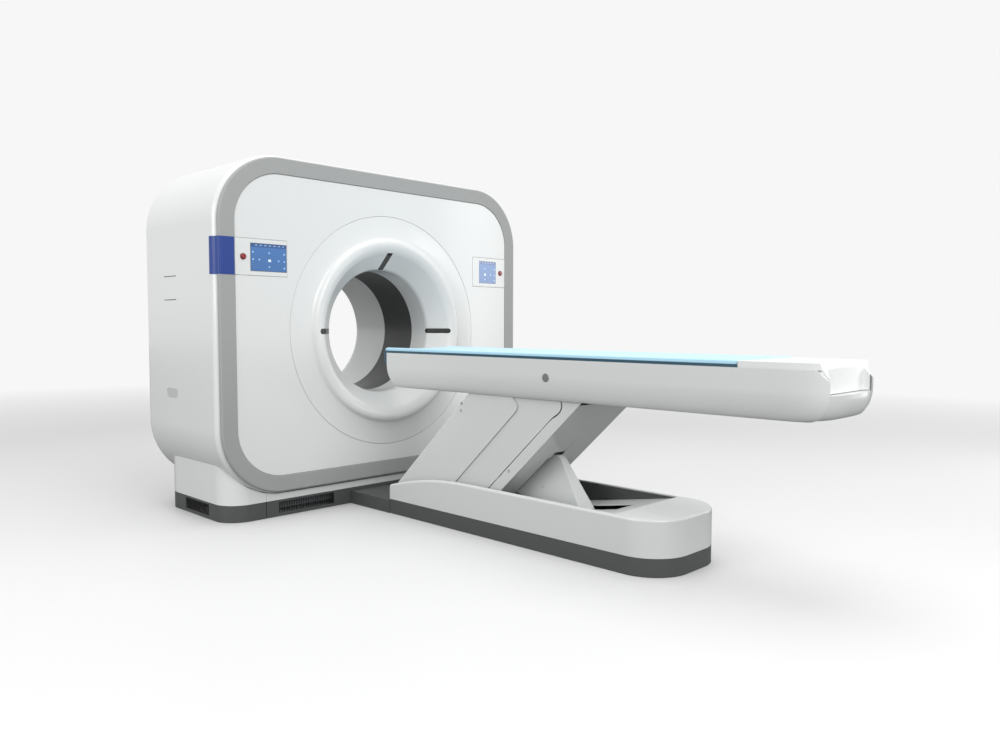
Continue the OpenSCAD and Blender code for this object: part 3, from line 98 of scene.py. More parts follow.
class GantrySizes(bpy.types.PropertyGroup):
    """Sizes of the gantry's covers."""
    corner: metres("Corner radius", 0.350, "Outer corner radius of the bezel")
    band: metres("Bezel band", 0.087, "Width of the grey bezel")
    bezel_depth: metres("Bezel depth", 0.018, "Depth of the grey bezel")
    front_round: metres("Front rounding", 0.042, "Rounding of the shell beside the bezel")
    rear_round: metres("Rear rounding", 0.080, "Rounding of the shell at the back")
    wall: metres("Wall", 0.005, "Wall of the covers")
    sink: metres("Cover sink", 0.004, "How far the front cover lies behind the bezel's face")
    gap: metres("Seam gap", 0.0015, "Gap between neighbouring covers")
    seam: metres("Seam radius", 0.665, "Radius of the round seam")
    bore: metres("Bore radius", 0.360, "Radius of the patient bore")
    tube_wall: metres("Tube wall", 0.004, "Wall of the bore's tubes")
    reach: metres("Mouth reach", 0.148, "Radial reach of the bell mouth up to its ridge")
    ridge: metres("Ridge", 0.025, "How far the ridge stands out of the face")
    mouth_depth: metres("Mouth depth", 0.094, "Distance behind the face where the mouth opens")
    mouth_angle: FloatProperty(name="Mouth angle", description="Angle of the mouth's cone to the bore's axis",
                               default=math.radians(43), subtype="ANGLE")
    mouth_bend: metres("Mouth bend", 0.040, "Rounding between bore and cone")
    rear_reach: metres("Rear reach", 0.070, "Radial reach of the flare at the back")
    rear_flare: metres("Rear flare", 0.088, "Length of the flare at the back")
    panel_height: metres("Panel height", 0.190, "Height of a control panel")
    panel_inner: metres("Panel inner end", 0.677, "Distance of the panels from the middle")
    stop_x: metres("Stop button", 0.930, "Distance of the stop buttons from the middle")
    stop_radius: metres("Stop radius", 0.014, "Radius of a stop button")
    slot_height: metres("Laser window", 0.030, "Height of a side laser window")
    steps: IntProperty(name="Corner steps", description="Steps of a rounded corner", default=40, min=4)


class TableSizes(bpy.types.PropertyGroup):
    """Sizes of the patient table."""
    foot_corner: metres("Base corner", 0.186, "Corner radius at the base's foot end")
    head_corner: metres("Head corner", 0.010, "Corner radius at the base's head end")
    well_half: metres("Well", 0.243, "Half width of the base's open top")
    well_foot: metres("Well end", 1.820, "Distance from the gantry's face to the well's end")
    rim: metres("Rim", 0.242, "Height of the base's rim")
    fall: FloatProperty(name="Rim fall", description="How steeply the rim bends down toward the gantry", default=0.25)
    fall_from: metres("Fall start", 0.900, "Distance from the face where the rim starts to bend down")
    wall: metres("Wall", 0.004, "Wall of the table's covers")
    trough_round: metres("Side rounding", 0.034, "How far the side covers turn in at their bottom")
    foot_from: metres("Foot rounding", 2.510, "Distance from the face where the foot end turns in")
    foot_reach: metres("Foot reach", 0.224, "Length of the foot end's rounding")
    dip: metres("Cradle dip", 0.035, "How much lower the cradle's middle lies than its edges")
    pad: metres("Mattress", 0.035, "Thickness of the mattress at its edges")
    rim_over: metres("Cradle rim", 0.018, "Height of the cradle's rim over its edge")
    shell: metres("Cradle shell", 0.014, "Thickness of the cradle")
    tip: metres("Tip corner", 0.006, "Corner radius of cradle and mattress")


class FinishColours(bpy.types.PropertyGroup):
    """Colours of the scanner's finishes."""
    cover: tint("Covers", (236, 238, 237), "Gloss white covers")
    table_cover: tint("Table covers", (222, 225, 224), "Pale grey covers of the table")
    bezel: tint("Bezel", (170, 172, 171), "Grey bezel")
    cap: tint("End cap", (26, 64, 146), "Blue end cap")
    plinth: tint("Plinth", (86, 88, 88), "Dark plinth")
    window: tint("Scan window", (66, 67, 68), "Dark ring in the bore")
    mattress: tint("Mattress", (182, 228, 250), "Light blue mattress")
    cradle: tint("Cradle", (44, 88, 108), "Dark teal cradle")
    screen: tint("Screen", (62, 112, 172), "Blue of the touch screens")
    stop: tint("Stop button", (128, 22, 30), "Red of the stop buttons")


def gantry():
    return bpy.context.scene.ct_gantry


def table():
    return bpy.context.scene.ct_table


def colours():
    return bpy.context.scene.ct_colours


# Node trees: one call adds a node, and arithmetic on values adds Math nodes

class Value:
    """A node's output on which arithmetic adds Math nodes."""

    def __init__(self, graph, socket):
        self.graph, self.socket = graph, socket

    def math(self, operation, other=0.0, flipped=False):
        first, second = (other, self) if flipped else (self, other)
        return self.graph.node("ShaderNodeMath", {"operation": operation}, {0: first, 1: second})

    def __add__(self, other):
        return self.math("ADD", other)

    def __sub__(self, other):
        return self.math("SUBTRACT", other)

    def __rsub__(self, other):
        return self.math("SUBTRACT", other, flipped=True)

    def __mul__(self, other):
        return self.math("MULTIPLY", other)

    def __truediv__(self, other):
        return self.math("DIVIDE", other)

    def __pow__(self, other):
        return self.math("POWER", other)

    def __lt__(self, other):
        return self.math("LESS_THAN", other)

    def __abs__(self):
        return self.math("ABSOLUTE")

    __radd__ = __add__
    __rmul__ = __mul__

    def near(self, place, half):
        """1 where the value lies within half of a place."""
        return abs(self - place) < half

    def beside(self, output):
        """Another output of the same node."""
        return Value(self.graph, self.socket.node.outputs[output])


class Graph:
    """A node tree to which one method adds every kind of node."""

    def __init__(self, tree):
        self.tree = tree

    def node(self, kind, settings=None, inputs=None, output=0):
        """Adds a node, sets it up, feeds its sockets and returns one of its outputs."""
        made = self.tree.nodes.new(kind)
        for key, value in (settings or {}).items():
            setattr(made, key, value)
        for key, value in (inputs or {}).items():
            self.feed(made.inputs[key], value)
        return Value(self, made.outputs[output])

    def feed(self, socket, value):
        if isinstance(value, Value):
            self.tree.links.new(value.socket, socket)
        elif socket.type == "RGBA":
            socket.default_value = (*value, 1)
        else:
            socket.default_value = value


class Finish(Graph):
    """A material with a Principled shader, or a world, built from expressions."""

    def __init__(self, owner, output="ShaderNodeOutputMaterial"):
        self.material = bpy.data.materials.new(owner) if isinstance(owner, str) else owner
        self.material.use_nodes = True
        super().__init__(self.material.node_tree)
        self.tree.nodes.clear()
        self.output = self.tree.nodes.new(output)

    def end(self, shader):
        self.feed(self.output.inputs[0], shader)
        return self.material

    def place(self, scale=(1, 1, 1), shift=(0, 0, 0)):
        """Object coordinates, shifted and scaled."""
        where = self.node("ShaderNodeTexCoord", output="Object")
        return self.node("ShaderNodeMapping", {"vector_type": "POINT"},
                         {"Vector": where, "Location": shift, "Scale": scale})

    def axes(self, shift=(0, 0, 0)):
        """X, y and z of the object's coordinates, each as a Value."""
        x = self.node("ShaderNodeSeparateXYZ", {}, {0: self.place(shift=shift)})
        return x, x.beside(1), x.beside(2)

    def noise(self, scale, detail=2.0, vector=None, rough=0.5):
        return self.node("ShaderNodeTexNoise", {}, {"Vector": vector or self.place(), "Scale": scale,
                                                    "Detail": detail, "Roughness": rough}, "Fac")

    def lines(self, along, scale, detail):
        """Fine lines across one direction."""
        return self.node("ShaderNodeTexNoise", {"noise_dimensions": "1D"},
                         {"W": along, "Scale": scale, "Detail": detail}, "Fac")

    def round_bore(self):
        """Distance from the bore's axis, and depth along it."""
        x, y, z = self.axes((0, 0, -BORE_Z))
        return (x * x + z * z) ** 0.5, y

    def mix(self, factor, first, second):
        """Colour between two colours."""
        return self.node("ShaderNodeMix", {"data_type": "RGBA"}, {0: factor, 6: first, 7: second}, 2)

    def shade(self, colour, factor, amount):
        """A colour that a pattern darkens by up to an amount."""
        dark = tuple(c * (1 - amount) for c in colour)
        return self.mix(factor, tuple(colour), dark)

    def bump(self, height, strength, distance):
        return self.node("ShaderNodeBump", {}, {"Height": height, "Strength": strength, "Distance": distance},
                         "Normal")

    def surface(self, **sockets):
        """Ends the material in a Principled shader with the given sockets."""
        names = {"base": "Base Color", "roughness": "Roughness", "metallic": "Metallic", "coat": "Coat Weight",
                 "coat_roughness": "Coat Roughness", "normal": "Normal", "emission": "Emission Color",
                 "emission_strength": "Emission Strength", "sheen": "Sheen Weight"}
        return self.end(self.node("ShaderNodeBsdfPrincipled", {}, {names[k]: v for k, v in sockets.items()}))


def between(value, low, high):
    """Maps a pattern's 0 and 1 to the two ends of a range."""
    return value * (high - low) + low


# Finishes, one or more for each material slot of the record

def gloss_cover(name, colour, roughness=0.22, coat=0.35):
    """Moulded and lacquered cover with a faint orange peel and slight haze."""
    f = Finish(name)
    haze = f.noise(1.6, 3.0)
    peel = f.noise(260.0, 2.0)
    return f.surface(base=f.shade(colour, haze, 0.035), roughness=between(haze, roughness, roughness + 0.07),
                     normal=f.bump(peel, 0.10, 0.0003), coat=coat, coat_roughness=0.12)


def satin_paint(name, colour):
    """Fine textured satin paint of bezel and plinth."""
    f = Finish(name)
    speck = f.noise(900.0, 2.0)
    cloud = f.noise(2.3, 3.0)
    return f.surface(base=f.shade(colour, speck * 0.6 + cloud * 0.4, 0.10), roughness=between(cloud, 0.42, 0.52),
                     normal=f.bump(speck, 0.18, 0.0003))


def rubber(name, colour):
    """Matt rubber with a dusty grain."""
    f = Finish(name)
    dust = f.noise(60.0, 4.0)
    return f.surface(base=f.shade(colour, dust, 0.35), roughness=between(dust, 0.65, 0.85),
                     normal=f.bump(f.noise(1200.0), 0.25, 0.0003))


def turned_metal(name, colour, roughness=0.28):
    """Metal turned on a lathe about the bore's axis: fine rings round it."""
    f = Finish(name)
    radius, y = f.round_bore()
    ring = f.lines(radius + y, 420.0, 3.0)
    stain = f.noise(5.0, 4.0)
    return f.surface(base=f.shade(colour, ring * 0.5 + stain * 0.5, 0.16), metallic=1.0,
                     roughness=between(ring, roughness, roughness + 0.16), normal=f.bump(ring, 0.12, 0.0002))


def ground_metal(name, colour):
    """Ground or cast metal with short streaks along x."""
    f = Finish(name)
    streak = f.noise(90.0, 3.0, f.place((1, 14, 14)))
    stain = f.noise(7.0, 4.0)
    return f.surface(base=f.shade(colour, streak * 0.5 + stain * 0.5, 0.18), metallic=1.0,
                     roughness=between(streak, 0.24, 0.44), normal=f.bump(streak, 0.10, 0.0002))


def frame_paint(name, colour):
    """Powder paint of hidden frames and housings, with rubbed patches."""
    f = Finish(name)
    pebble = f.noise(520.0, 1.0)
    patch = f.noise(9.0, 5.0, rough=0.65)
    return f.surface(base=f.shade(colour, patch, 0.22), roughness=between(patch, 0.45, 0.60),
                     normal=f.bump(pebble, 0.3, 0.0003))


def cast_iron(name, colour):
    """Rough cast weights."""
    f = Finish(name)
    skin = f.noise(240.0, 5.0, rough=0.7)
    return f.surface(base=f.shade(colour, skin, 0.4), metallic=0.7, roughness=between(skin, 0.5, 0.75),
                     normal=f.bump(skin, 0.6, 0.0008))


def scan_ring(name, colour):
    """Dark polymer ring in the bore, with faint lines round the bore and a soft shine."""
    f = Finish(name)
    x, y, z = f.axes()
    line = f.lines(y, 700.0, 2.0)
    haze = f.noise(4.0, 3.0)
    return f.surface(base=f.shade(colour, line * 0.4 + haze * 0.6, 0.16), roughness=between(haze, 0.32, 0.42),
                     normal=f.bump(line, 0.06, 0.0002))


def dark_glass(name, colour):
    """Black glossy strip of a laser window."""
    f = Finish(name)
    smear = f.noise(30.0, 3.0)
    return f.surface(base=f.shade(colour, smear, 0.3), roughness=between(smear, 0.06, 0.16), coat=0.5)


def brass_tracks(name, colour):
    """Slip ring with polished tracks between dark insulating rings."""
    f = Finish(name)
    radius, y = f.round_bore()
    track = (radius / TRACK_PITCH).math("FRACT") < 0.36
    wear = f.noise(40.0, 3.0)
    return f.surface(base=f.mix(track, tuple(colour), (0.03, 0.03, 0.03)), metallic=1.0 - track,
                     roughness=between(wear, 0.22, 0.36))


def ribbed_belt(name, colour):
    """Drive belt with ribs along its run."""
    f = Finish(name)
    x, y, z = f.axes()
    rib = (y * 280.0).math("FRACT")
    # Each rib darkens from one edge to the other: painted shade across the ribs
    return f.surface(base=f.shade(colour, rib, 0.4), roughness=0.7, normal=f.bump(abs(rib - 0.5), 0.5, 0.001))


def red_button(name, colour):
    """Dark red cap mottled with brighter, rubbed patches."""
    f = Finish(name)
    rub = f.noise(160.0, 3.0)
    return f.surface(base=f.mix(rub * 0.4, tuple(colour), srgb(196, 60, 58)), roughness=between(rub, 0.2, 0.35),
                     coat=0.4)


def composite(name, colour):
    """Lacquered composite of the cradle with its weave showing through."""
    f = Finish(name)
    x, y, z = f.axes()
    weave = abs((x * 250.0).math("FRACT") - 0.5) + abs((y * 250.0).math("FRACT") - 0.5)
    haze = f.noise(5.0, 3.0)
    return f.surface(base=f.shade(colour, weave * 0.6 + haze * 0.4, 0.25), roughness=between(haze, 0.25, 0.36),
                     normal=f.bump(weave, 0.05, 0.0003), coat=0.3)


def wipe_clean_cover(name, colour):
    """Coated mattress cover with a fine leather grain, crease shadows and a light sheen."""
    f = Finish(name)
    cell = f.node("ShaderNodeTexVoronoi", {"feature": "DISTANCE_TO_EDGE"}, {"Vector": f.place(), "Scale": 620.0},
                  "Distance")
    crease = f.noise(14.0, 4.0, f.place((1.0, 0.35, 1.0)), 0.6)
    return f.surface(base=f.shade(colour, crease, 0.07), roughness=between(crease, 0.42, 0.55),
                     normal=f.bump(cell * 0.5 + crease * 0.5, 0.16, 0.0010), sheen=0.25)


def touch_screen(name, colour):
    """Touch screen: a blue field with a darker bar above and rows of pale keys."""
    f = Finish(name)
    x, y, z = f.axes()
    half_w = (SCREENS[1].x - SCREEN_INNER) / 2
    half_h = (SCREENS[1].z - SCREENS[0].z) / 2
    # Both run from -1 to 1 over a screen, from left to right and from bottom to top
    across = (abs(x) - (SCREEN_INNER + half_w)) / half_w * x.math("SIGN")
    up = (z - (SCREENS[0].z + half_h)) / half_h
    glow = f.mix(up * 0.35 + 0.5, tuple(c * 0.86 for c in colour), tuple(c * 1.06 for c in colour))
    picture = f.mix(up.near(0.86, 0.14), glow, srgb(46, 84, 140))
    keys = [(-0.86, 0.36), (-0.86, -0.16), (-0.52, -0.16), (0.02, 0.34), (0.02, -0.66), (0.54, -0.20),
            (0.86, 0.30), (0.86, -0.22), (0.86, -0.70)]
    shown = sum(across.near(u, 0.040) * up.near(v, 0.060) for u, v in keys)
    picture = f.mix(shown, picture, srgb(150, 190, 232))
    lamp = across.near(0.04, 0.075) * up.near(-0.20, 0.085)
    picture = f.mix(lamp, picture, srgb(224, 240, 252))
    dashes = up.near(0.86, 0.035) * ((across * 4.0).math("FRACT") < 0.55) * (abs(across) < 0.85)
    picture = f.mix(dashes, picture, srgb(140, 172, 214))
    edge = (1 - (abs(across) < 0.975)).math("MAXIMUM", 1 - (abs(up) < 0.965))
    picture = f.mix(edge, picture, srgb(58, 70, 88))
    return f.surface(base=picture, emission=picture, emission_strength=0.2, roughness=0.12, coat=0.5)


FINISHES = {}


def make_finishes():
    """Builds every material once, under the name by which pieces ask for it."""
    c = colours()
    FINISHES.update({
        "cover_white": gloss_cover("white_covers", c.cover),
        "cover_grey": gloss_cover("table_covers", c.table_cover, 0.3),
        "bezel_grey": satin_paint("bezel_paint", c.bezel),
        "cap_blue": gloss_cover("blue_cap", c.cap, 0.34, 0.0),
        "plinth_grey": satin_paint("plinth_paint", c.plinth),
        "grille_black": satin_paint("grille_paint", srgb(40, 41, 42)),
        "window_dark": scan_ring("scan_ring", c.window),
        "laser_black": dark_glass("laser_glass", srgb(24, 25, 27)),
        "screen_blue": touch_screen("touch_screen", c.screen),
        "button_red": red_button("stop_red", c.stop),
        "guard_red": red_button("stop_guard", srgb(92, 20, 28)),
        "button_grey": gloss_cover("button_grey", srgb(122, 125, 125), 0.3),
        # Darker copy of the cover white for the latches: painted shade of the pockets they sit in
        "latch_grey": gloss_cover("latch_grey", srgb(206, 209, 208), 0.3),
        # Dark grey of the sheets in the base's well: painted shade of the well's inner walls
        "liner_grey": satin_paint("well_liner", srgb(70, 72, 72)),
        "frame_steel": frame_paint("frame_paint", srgb(150, 154, 157)),
        "foot_rubber": rubber("foot_rubber", srgb(46, 46, 47)),
        "bearing_steel": turned_metal("bearing_steel", srgb(190, 192, 196), 0.18),
        "rotor_alloy": turned_metal("rotor_alloy", srgb(205, 207, 210)),
        "tube_metal": ground_metal("tube_housing", srgb(196, 198, 200)),
        "unit_dark": frame_paint("dark_housing", srgb(72, 75, 78)),
        "unit_light": frame_paint("light_housing", srgb(196, 198, 198)),
        "weight_iron": cast_iron("cast_iron", srgb(92, 92, 94)),
        "ring_brass": brass_tracks("slip_tracks", srgb(212, 180, 108)),
        "belt_rubber": ribbed_belt("belt_rubber", srgb(48, 48, 49)),
        "strip_black": rubber("slide_strip", srgb(50, 50, 52)),
        "cradle_teal": composite("cradle_composite", c.cradle),
        "mattress_blue": wipe_clean_cover("mattress_cover", c.mattress),
    })


# Shapes

def arc(u, v, radius, start, end, steps=10, high=None):
    """Points of an arc about (u, v) from one angle to another, in degrees; round, or of an ellipse."""
    turn = [math.radians(start + (end - start) * k / steps) for k in range(steps + 1)]
    return [(u + radius * math.cos(a), v + (radius if high is None else high) * math.sin(a)) for a in turn]


def round_box(u0, u1, v0, v1, radius, steps=10):
    """Outline of a rectangle with round corners, counterclockwise."""
    return (arc(u1 - radius, v1 - radius, radius, 0, 90, steps) + arc(u0 + radius, v1 - radius, radius, 90, 180, steps)
            + arc(u0 + radius, v0 + radius, radius, 180, 270, steps)
            + arc(u1 - radius, v0 + radius, radius, 270, 360, steps))


def linked(name, data):
    """A new object in the scene."""
    made = bpy.data.objects.new(name, data)
    bpy.context.scene.collection.objects.link(made)
    return made


def mesh_piece(name, vertices, faces):
    """A new object from points and faces, its doubles merged and its faces turned outward."""
    mesh = bpy.data.meshes.new(name)
    mesh.from_pydata(vertices, [], faces)
    shape = bmesh.new()
    shape.from_mesh(mesh)
    bmesh.ops.remove_doubles(shape, verts=shape.verts, dist=1e-6)
    bmesh.ops.recalc_face_normals(shape, faces=shape.faces)
    shape.to_mesh(mesh)
    shape.free()
    return linked(name, mesh)


def loft(name, sections, ring=True):
    """Skin over closed sections with the same number of points; a ring closes on itself."""
    count = len(sections[0])
    spans = range(len(sections) if ring else len(sections) - 1)
    faces = [(a * count + k, b * count + k, b * count + (k + 1) % count, a * count + (k + 1) % count)
             for a in spans for b in [(a + 1) % len(sections)] for k in range(count)]
    if not ring:
        last = (len(sections) - 1) * count
        faces += [tuple(range(count)), tuple(last + k for k in reversed(range(count)))]
    return mesh_piece(name, [p for s in sections for p in s], faces)


def prism(name, outline, axis, start, end):
    """Outline run along an axis: drawn in (y, z) along X, in (x, z) along Y, in (x, y) along Z."""
    place = {"X": lambda u, v, w: (w, u, v), "Y": lambda u, v, w: (u, w, v), "Z": lambda u, v, w: (u, v, w)}[axis]
    return loft(name, [[place(u, v, w) for u, v in outline] for w in (start, end)], ring=False)


def block(name, low, high):
    """Box between its lowest and highest corner."""
    return prism(name, [(low[0], low[1]), (high[0], low[1]), (high[0], high[1]), (low[0], high[1])], "Z",
                 low[2], high[2])


def baked(piece):
    """Replaces a piece's mesh by what its modifiers make of it."""
    view = bpy.context.evaluated_depsgraph_get()
    mesh = bpy.data.meshes.new_from_object(piece.evaluated_get(view))
    piece.modifiers.clear()
    piece.data = mesh
    return piece


def combined(piece, others, operation="DIFFERENCE"):
    """Cuts other shapes out of a piece, or keeps what it shares with them, and removes them."""
    for other in others:
        cut = piece.modifiers.new("cut", "BOOLEAN")
        cut.operation, cut.object, cut.solver = operation, other, "EXACT"
    baked(piece)
    for other in others:
        bpy.data.objects.remove(other)
    return piece


def softened(piece, width=0.8 * MM, angle=28, segments=2):
    """Rounds the sharp edges of a piece a little and evens its shading."""
    bevel = piece.modifiers.new("edges", "BEVEL")
    bevel.width, bevel.segments = width, segments
    bevel.limit_method, bevel.angle_limit = "ANGLE", math.radians(angle)
    bevel.use_clamp_overlap = True
    return baked(piece)


def painted(mesh, finish):
    """Gives a whole mesh one material."""
    mesh.materials.clear()
    mesh.materials.append(finish)
    mesh.polygons.foreach_set("material_index", [0] * len(mesh.polygons))


def finished(piece, slot, body="base", replaced=(), smooth=35, look=None):
    """Gives a piece its finish, its body and the nodes that it stands for."""
    painted(piece.data, FINISHES[look or slot])
    piece.data.shade_smooth()
    piece.data.set_sharp_from_angle(angle=math.radians(smooth))
    even = piece.modifiers.new("even", "WEIGHTED_NORMAL")
    even.keep_sharp, even.weight = True, 60
    baked(piece)
    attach(piece, body)
    if replaced:
        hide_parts(*replaced)
    return piece


def slot_of(node):
    """Material slot that the record gives a node."""
    return next(s["material_slot"] for s in frame["record"]["subparts"] if s["node"] == node)


def body_of(node):
    """Body that the record puts a node in."""
    return next(b for b, nodes in frame["record"]["behaviour"]["bodies"].items() if node in nodes)


def dressed(node, width=0.8 * MM, angle=28, smooth=35, look=None):
    """A copy of a CAD node with merged corners, flat faces joined and softened edges."""
    mesh = frame["nodes"][node].data.copy()
    mesh.name = node + "_dressed"
    shape = bmesh.new()
    shape.from_mesh(mesh)
    bmesh.ops.remove_doubles(shape, verts=shape.verts, dist=1e-5)
    bmesh.ops.dissolve_limit(shape, angle_limit=math.radians(0.4), verts=shape.verts, edges=shape.edges)
    shape.to_mesh(mesh)
    shape.free()
    piece = linked(node + "_dressed", mesh)
    if width:
        softened(piece, width, angle)
    return finished(piece, slot_of(node), body_of(node), [node], smooth, look)


# Node trees for what sweeps and what repeats

class Grower(Graph):
    """A geometry tree with named inputs that ends in Realize Instances and Set Material."""

    def __init__(self, name, **inputs):
        super().__init__(bpy.data.node_groups.new(name, "GeometryNodeTree"))
        face = self.tree.interface
        face.new_socket("Geometry", in_out="INPUT", socket_type="NodeSocketGeometry")
        for label, (kind, default) in inputs.items():
            socket = face.new_socket(label.replace("_", " "), in_out="INPUT", socket_type="NodeSocket" + kind)
            socket.default_value = default
        face.new_socket("Material", in_out="INPUT", socket_type="NodeSocketMaterial")
        face.new_socket("Geometry", in_out="OUTPUT", socket_type="NodeSocketGeometry")
        self.given, self.result = (self.tree.nodes.new("NodeGroup" + end) for end in ("Input", "Output"))

    def __getitem__(self, label):
        return Value(self, self.given.outputs[label])

    def end(self, geometry):
        realized = self.node("GeometryNodeRealizeInstances", {}, {0: geometry})
        painted = self.node("GeometryNodeSetMaterial", {}, {0: realized, "Material": self["Material"]})
        self.feed(self.result.inputs[0], painted)
        return self.tree


def sweep_tree():
    """Carries a section, drawn as (outward, depth), round an upright rounded rectangle."""
    g = Grower("section_round_a_frame", Width=("Float", 2.124), Height=("Float", 1.758), Corner_Radius=("Float", 0.35),
               Corner_Steps=("Int", 40), Across=("Float", 0.0), Up=("Float", 1.0))
    path = g.node("GeometryNodeCurvePrimitiveQuadrilateral", {}, {"Width": g["Width"], "Height": g["Height"]})
    rounded = g.node("GeometryNodeFilletCurve", {"mode": "POLY"},
                     {0: path, "Radius": g["Corner Radius"], "Count": g["Corner Steps"]})
    upright = g.node("GeometryNodeSetCurveNormal", {"mode": "Z_UP"}, {0: rounded})
    section = g.node("GeometryNodeMeshToCurve", {}, {0: g["Geometry"]})
    skin = g.node("GeometryNodeCurveToMesh", {}, {0: upright, 1: section})
    place = g.node("ShaderNodeCombineXYZ", {}, {"X": g["Across"], "Z": g["Up"]})
    stood = g.node("GeometryNodeTransform", {}, {0: skin, "Rotation": (math.pi / 2, 0, 0), "Translation": place})
    return g.end(g.node("GeometryNodeMergeByDistance", {}, {0: stood, "Distance": 1e-6}))


def copies_tree():
    """Puts a block of a given size on each point of the mesh that it is given."""
    g = Grower("block_on_points", Size=("Vector", (0.005, 0.004, 0.06)))
    cube = g.node("GeometryNodeMeshCube", {}, {"Size": g["Size"]})
    return g.end(g.node("GeometryNodeInstanceOnPoints", {}, {"Points": g["Geometry"], "Instance": cube}))


def screws_tree():
    """Puts a socket-head screw on each point, turned along the point's own direction, its attribute way."""
    g = Grower("screw_on_points", Radius=("Float", 0.004), Height=("Float", 0.0012), Socket=("Float", 0.5))
    upward = g.node("ShaderNodeSeparateXYZ", {}, {0: g.node("GeometryNodeInputNormal")}, "Z")
    top = g.node("FunctionNodeCompare", {"data_type": "FLOAT", "operation": "GREATER_THAN"}, {0: upward, 1: 0.5})
    head = g.node("GeometryNodeMeshCylinder", {}, {"Vertices": 20, "Radius": g["Radius"], "Depth": g["Height"]}, "Mesh")
    inset = g.node("GeometryNodeExtrudeMesh", {"mode": "FACES"}, {"Mesh": head, "Selection": top, "Offset Scale": 0.0},
                   "Mesh")
    middle = inset.beside("Top")
    shrunk = g.node("GeometryNodeScaleElements", {}, {0: inset, "Selection": middle, "Scale": g["Socket"]})
    screw = g.node("GeometryNodeExtrudeMesh", {"mode": "FACES"},
                   {"Mesh": shrunk, "Selection": middle, "Offset Scale": g["Height"] * -0.7}, "Mesh")
    way = g.node("GeometryNodeInputNamedAttribute", {"data_type": "FLOAT_VECTOR"}, {0: "way"}, "Attribute")
    turn = g.node("FunctionNodeAlignRotationToVector", {"axis": "Z"}, {"Vector": way}, "Rotation")
    return g.end(g.node("GeometryNodeInstanceOnPoints", {},
                        {"Points": g["Geometry"], "Instance": screw, "Rotation": turn}))


TREES = {}


def grown(name, points, loop, tree, slot, **values):
    """Runs points, or a closed loop of them, through a tree and keeps the plain mesh."""
    mesh = bpy.data.meshes.new(name)
    count = len(points)
    mesh.from_pydata(points, [(k, (k + 1) % count) for k in range(count)] if loop else [], [])
    piece = linked(name, mesh)
    if "way" in values:
        attribute = mesh.attributes.new("way", "FLOAT_VECTOR", "POINT")
        attribute.data.foreach_set("vector", [c for v in values.pop("way") for c in v])
    grow = piece.modifiers.new("grow", "NODES")
    if tree not in TREES:
        TREES[tree] = tree()
    grow.node_group = TREES[tree]
    values["Material"] = FINISHES[slot]
    for socket in grow.node_group.interface.items_tree:
        if socket.in_out == "INPUT" and socket.name in values:
            grow[socket.identifier] = values[socket.name]
    return baked(piece)


def swept(name, section, slot, **path):
    """Section carried round the gantry's rounded rectangle."""
    g = gantry()
    return grown(name, [(u, y, 0) for u, y in section], True, sweep_tree, slot,
                 Width=BEZEL[1].x - BEZEL[0].x, Height=BEZEL[1].z - BEZEL[0].z,
                 **{"Corner Radius": g.corner, "Corner Steps": g.steps, "Up": (BEZEL[0].z + BEZEL[1].z) / 2, **path})


def turned(name, profile, slot, across=0.0, up=None, steps=48):
    """Closed profile of (radius, depth) turned about an axis along y."""
    core = 1 * MM
    return grown(name, [(r - core, y, 0) for r, y in profile], True, sweep_tree, slot,
                 Width=2 * core, Height=2 * core, Across=across, Up=BORE_Z if up is None else up,
                 **{"Corner Radius": core, "Corner Steps": steps})


def smooth_line(points, steps=6):
    """Points on a Catmull-Rom curve through the given ones."""
    ends = [points[0], *points, points[-1]]
    line = []
    for a, b, c, d in zip(ends, ends[1:], ends[2:], ends[3:]):
        for k in range(steps):
            t = k / steps
            line.append(tuple(0.5 * (2 * q + (r - p) * t + (2 * p - 5 * q + 4 * r - s) * t * t
                                     + (3 * q - p - 3 * r + s) * t ** 3) for p, q, r, s in zip(a, b, c, d)))
    return line + [points[-1]]


def plate(name, outline, holes, y0, y1, round_edge=1.2 * MM):
    """Upright plate; outline and holes are functions of an inset that return points in (x, z)."""
    into = math.copysign(round_edge, y1 - y0)
    rings = [(y0, round_edge), (y0 + into * 0.3, round_edge * 0.3), (y0 + into, 0.0), (y1, 0.0)]
    shape = bmesh.new()
    fronts, backs = [], []
    for edge in [outline, *holes]:
        loops = [[shape.verts.new((x, y, z)) for x, z in edge(inset)] for y, inset in rings]
        count = len(loops[0])
        for a, b in zip(loops, loops[1:]):
            for k in range(count):
                shape.faces.new((a[k], a[(k + 1) % count], b[(k + 1) % count], b[k]))
        for loop, edges in ((loops[0], fronts), (loops[-1], backs)):
            for k in range(count):
                edges.append(shape.edges.get((loop[k], loop[(k + 1) % count])))
    for edges in (fronts, backs):
        bmesh.ops.triangle_fill(shape, edges=edges, use_beauty=True)
    bmesh.ops.recalc_face_normals(shape, faces=shape.faces)
    mesh = bpy.data.meshes.new(name)
    shape.to_mesh(mesh)
    shape.free()
    return linked(name, mesh)


# Gantry covers

def shell_section():
    """Section of the side shell: rounded beside the bezel and at the back."""
    g = gantry()
    proud = SHELL[1].x - BEZEL[1].x
    fu, fy = proud - g.front_round, FACE + g.bezel_depth + g.front_round
    ru, ry = proud - g.rear_round, SHELL[1].y - g.rear_round
    w = g.wall
    return (arc(fu, fy, g.front_round, -84, 0, 14) + arc(ru, ry, g.rear_round, 0, 90, 18)
            + [(-g.band, SHELL[1].y), (-g.band, SHELL[1].y - w)]
            + arc(ru, ry, g.rear_round - w, 90, 0, 12) + arc(fu, fy, g.front_round - w, 0, -84, 10))


def bezel_section():
    """Hollow section of the grey bezel with a rounded outer and a tight inner edge."""
    g = gantry()
    back = FACE + g.bezel_depth
    w, inner, outer = g.wall, 3 * MM, 10 * MM
    return (arc(-g.band + inner, FACE + inner, inner, 180, 270, 6) + arc(-outer, FACE + outer, outer, 270, 360, 12)
            + [(0, back), (-w, back), (-w, FACE + w), (-g.band + w, FACE + w), (-g.band + w, back), (-g.band, back)])


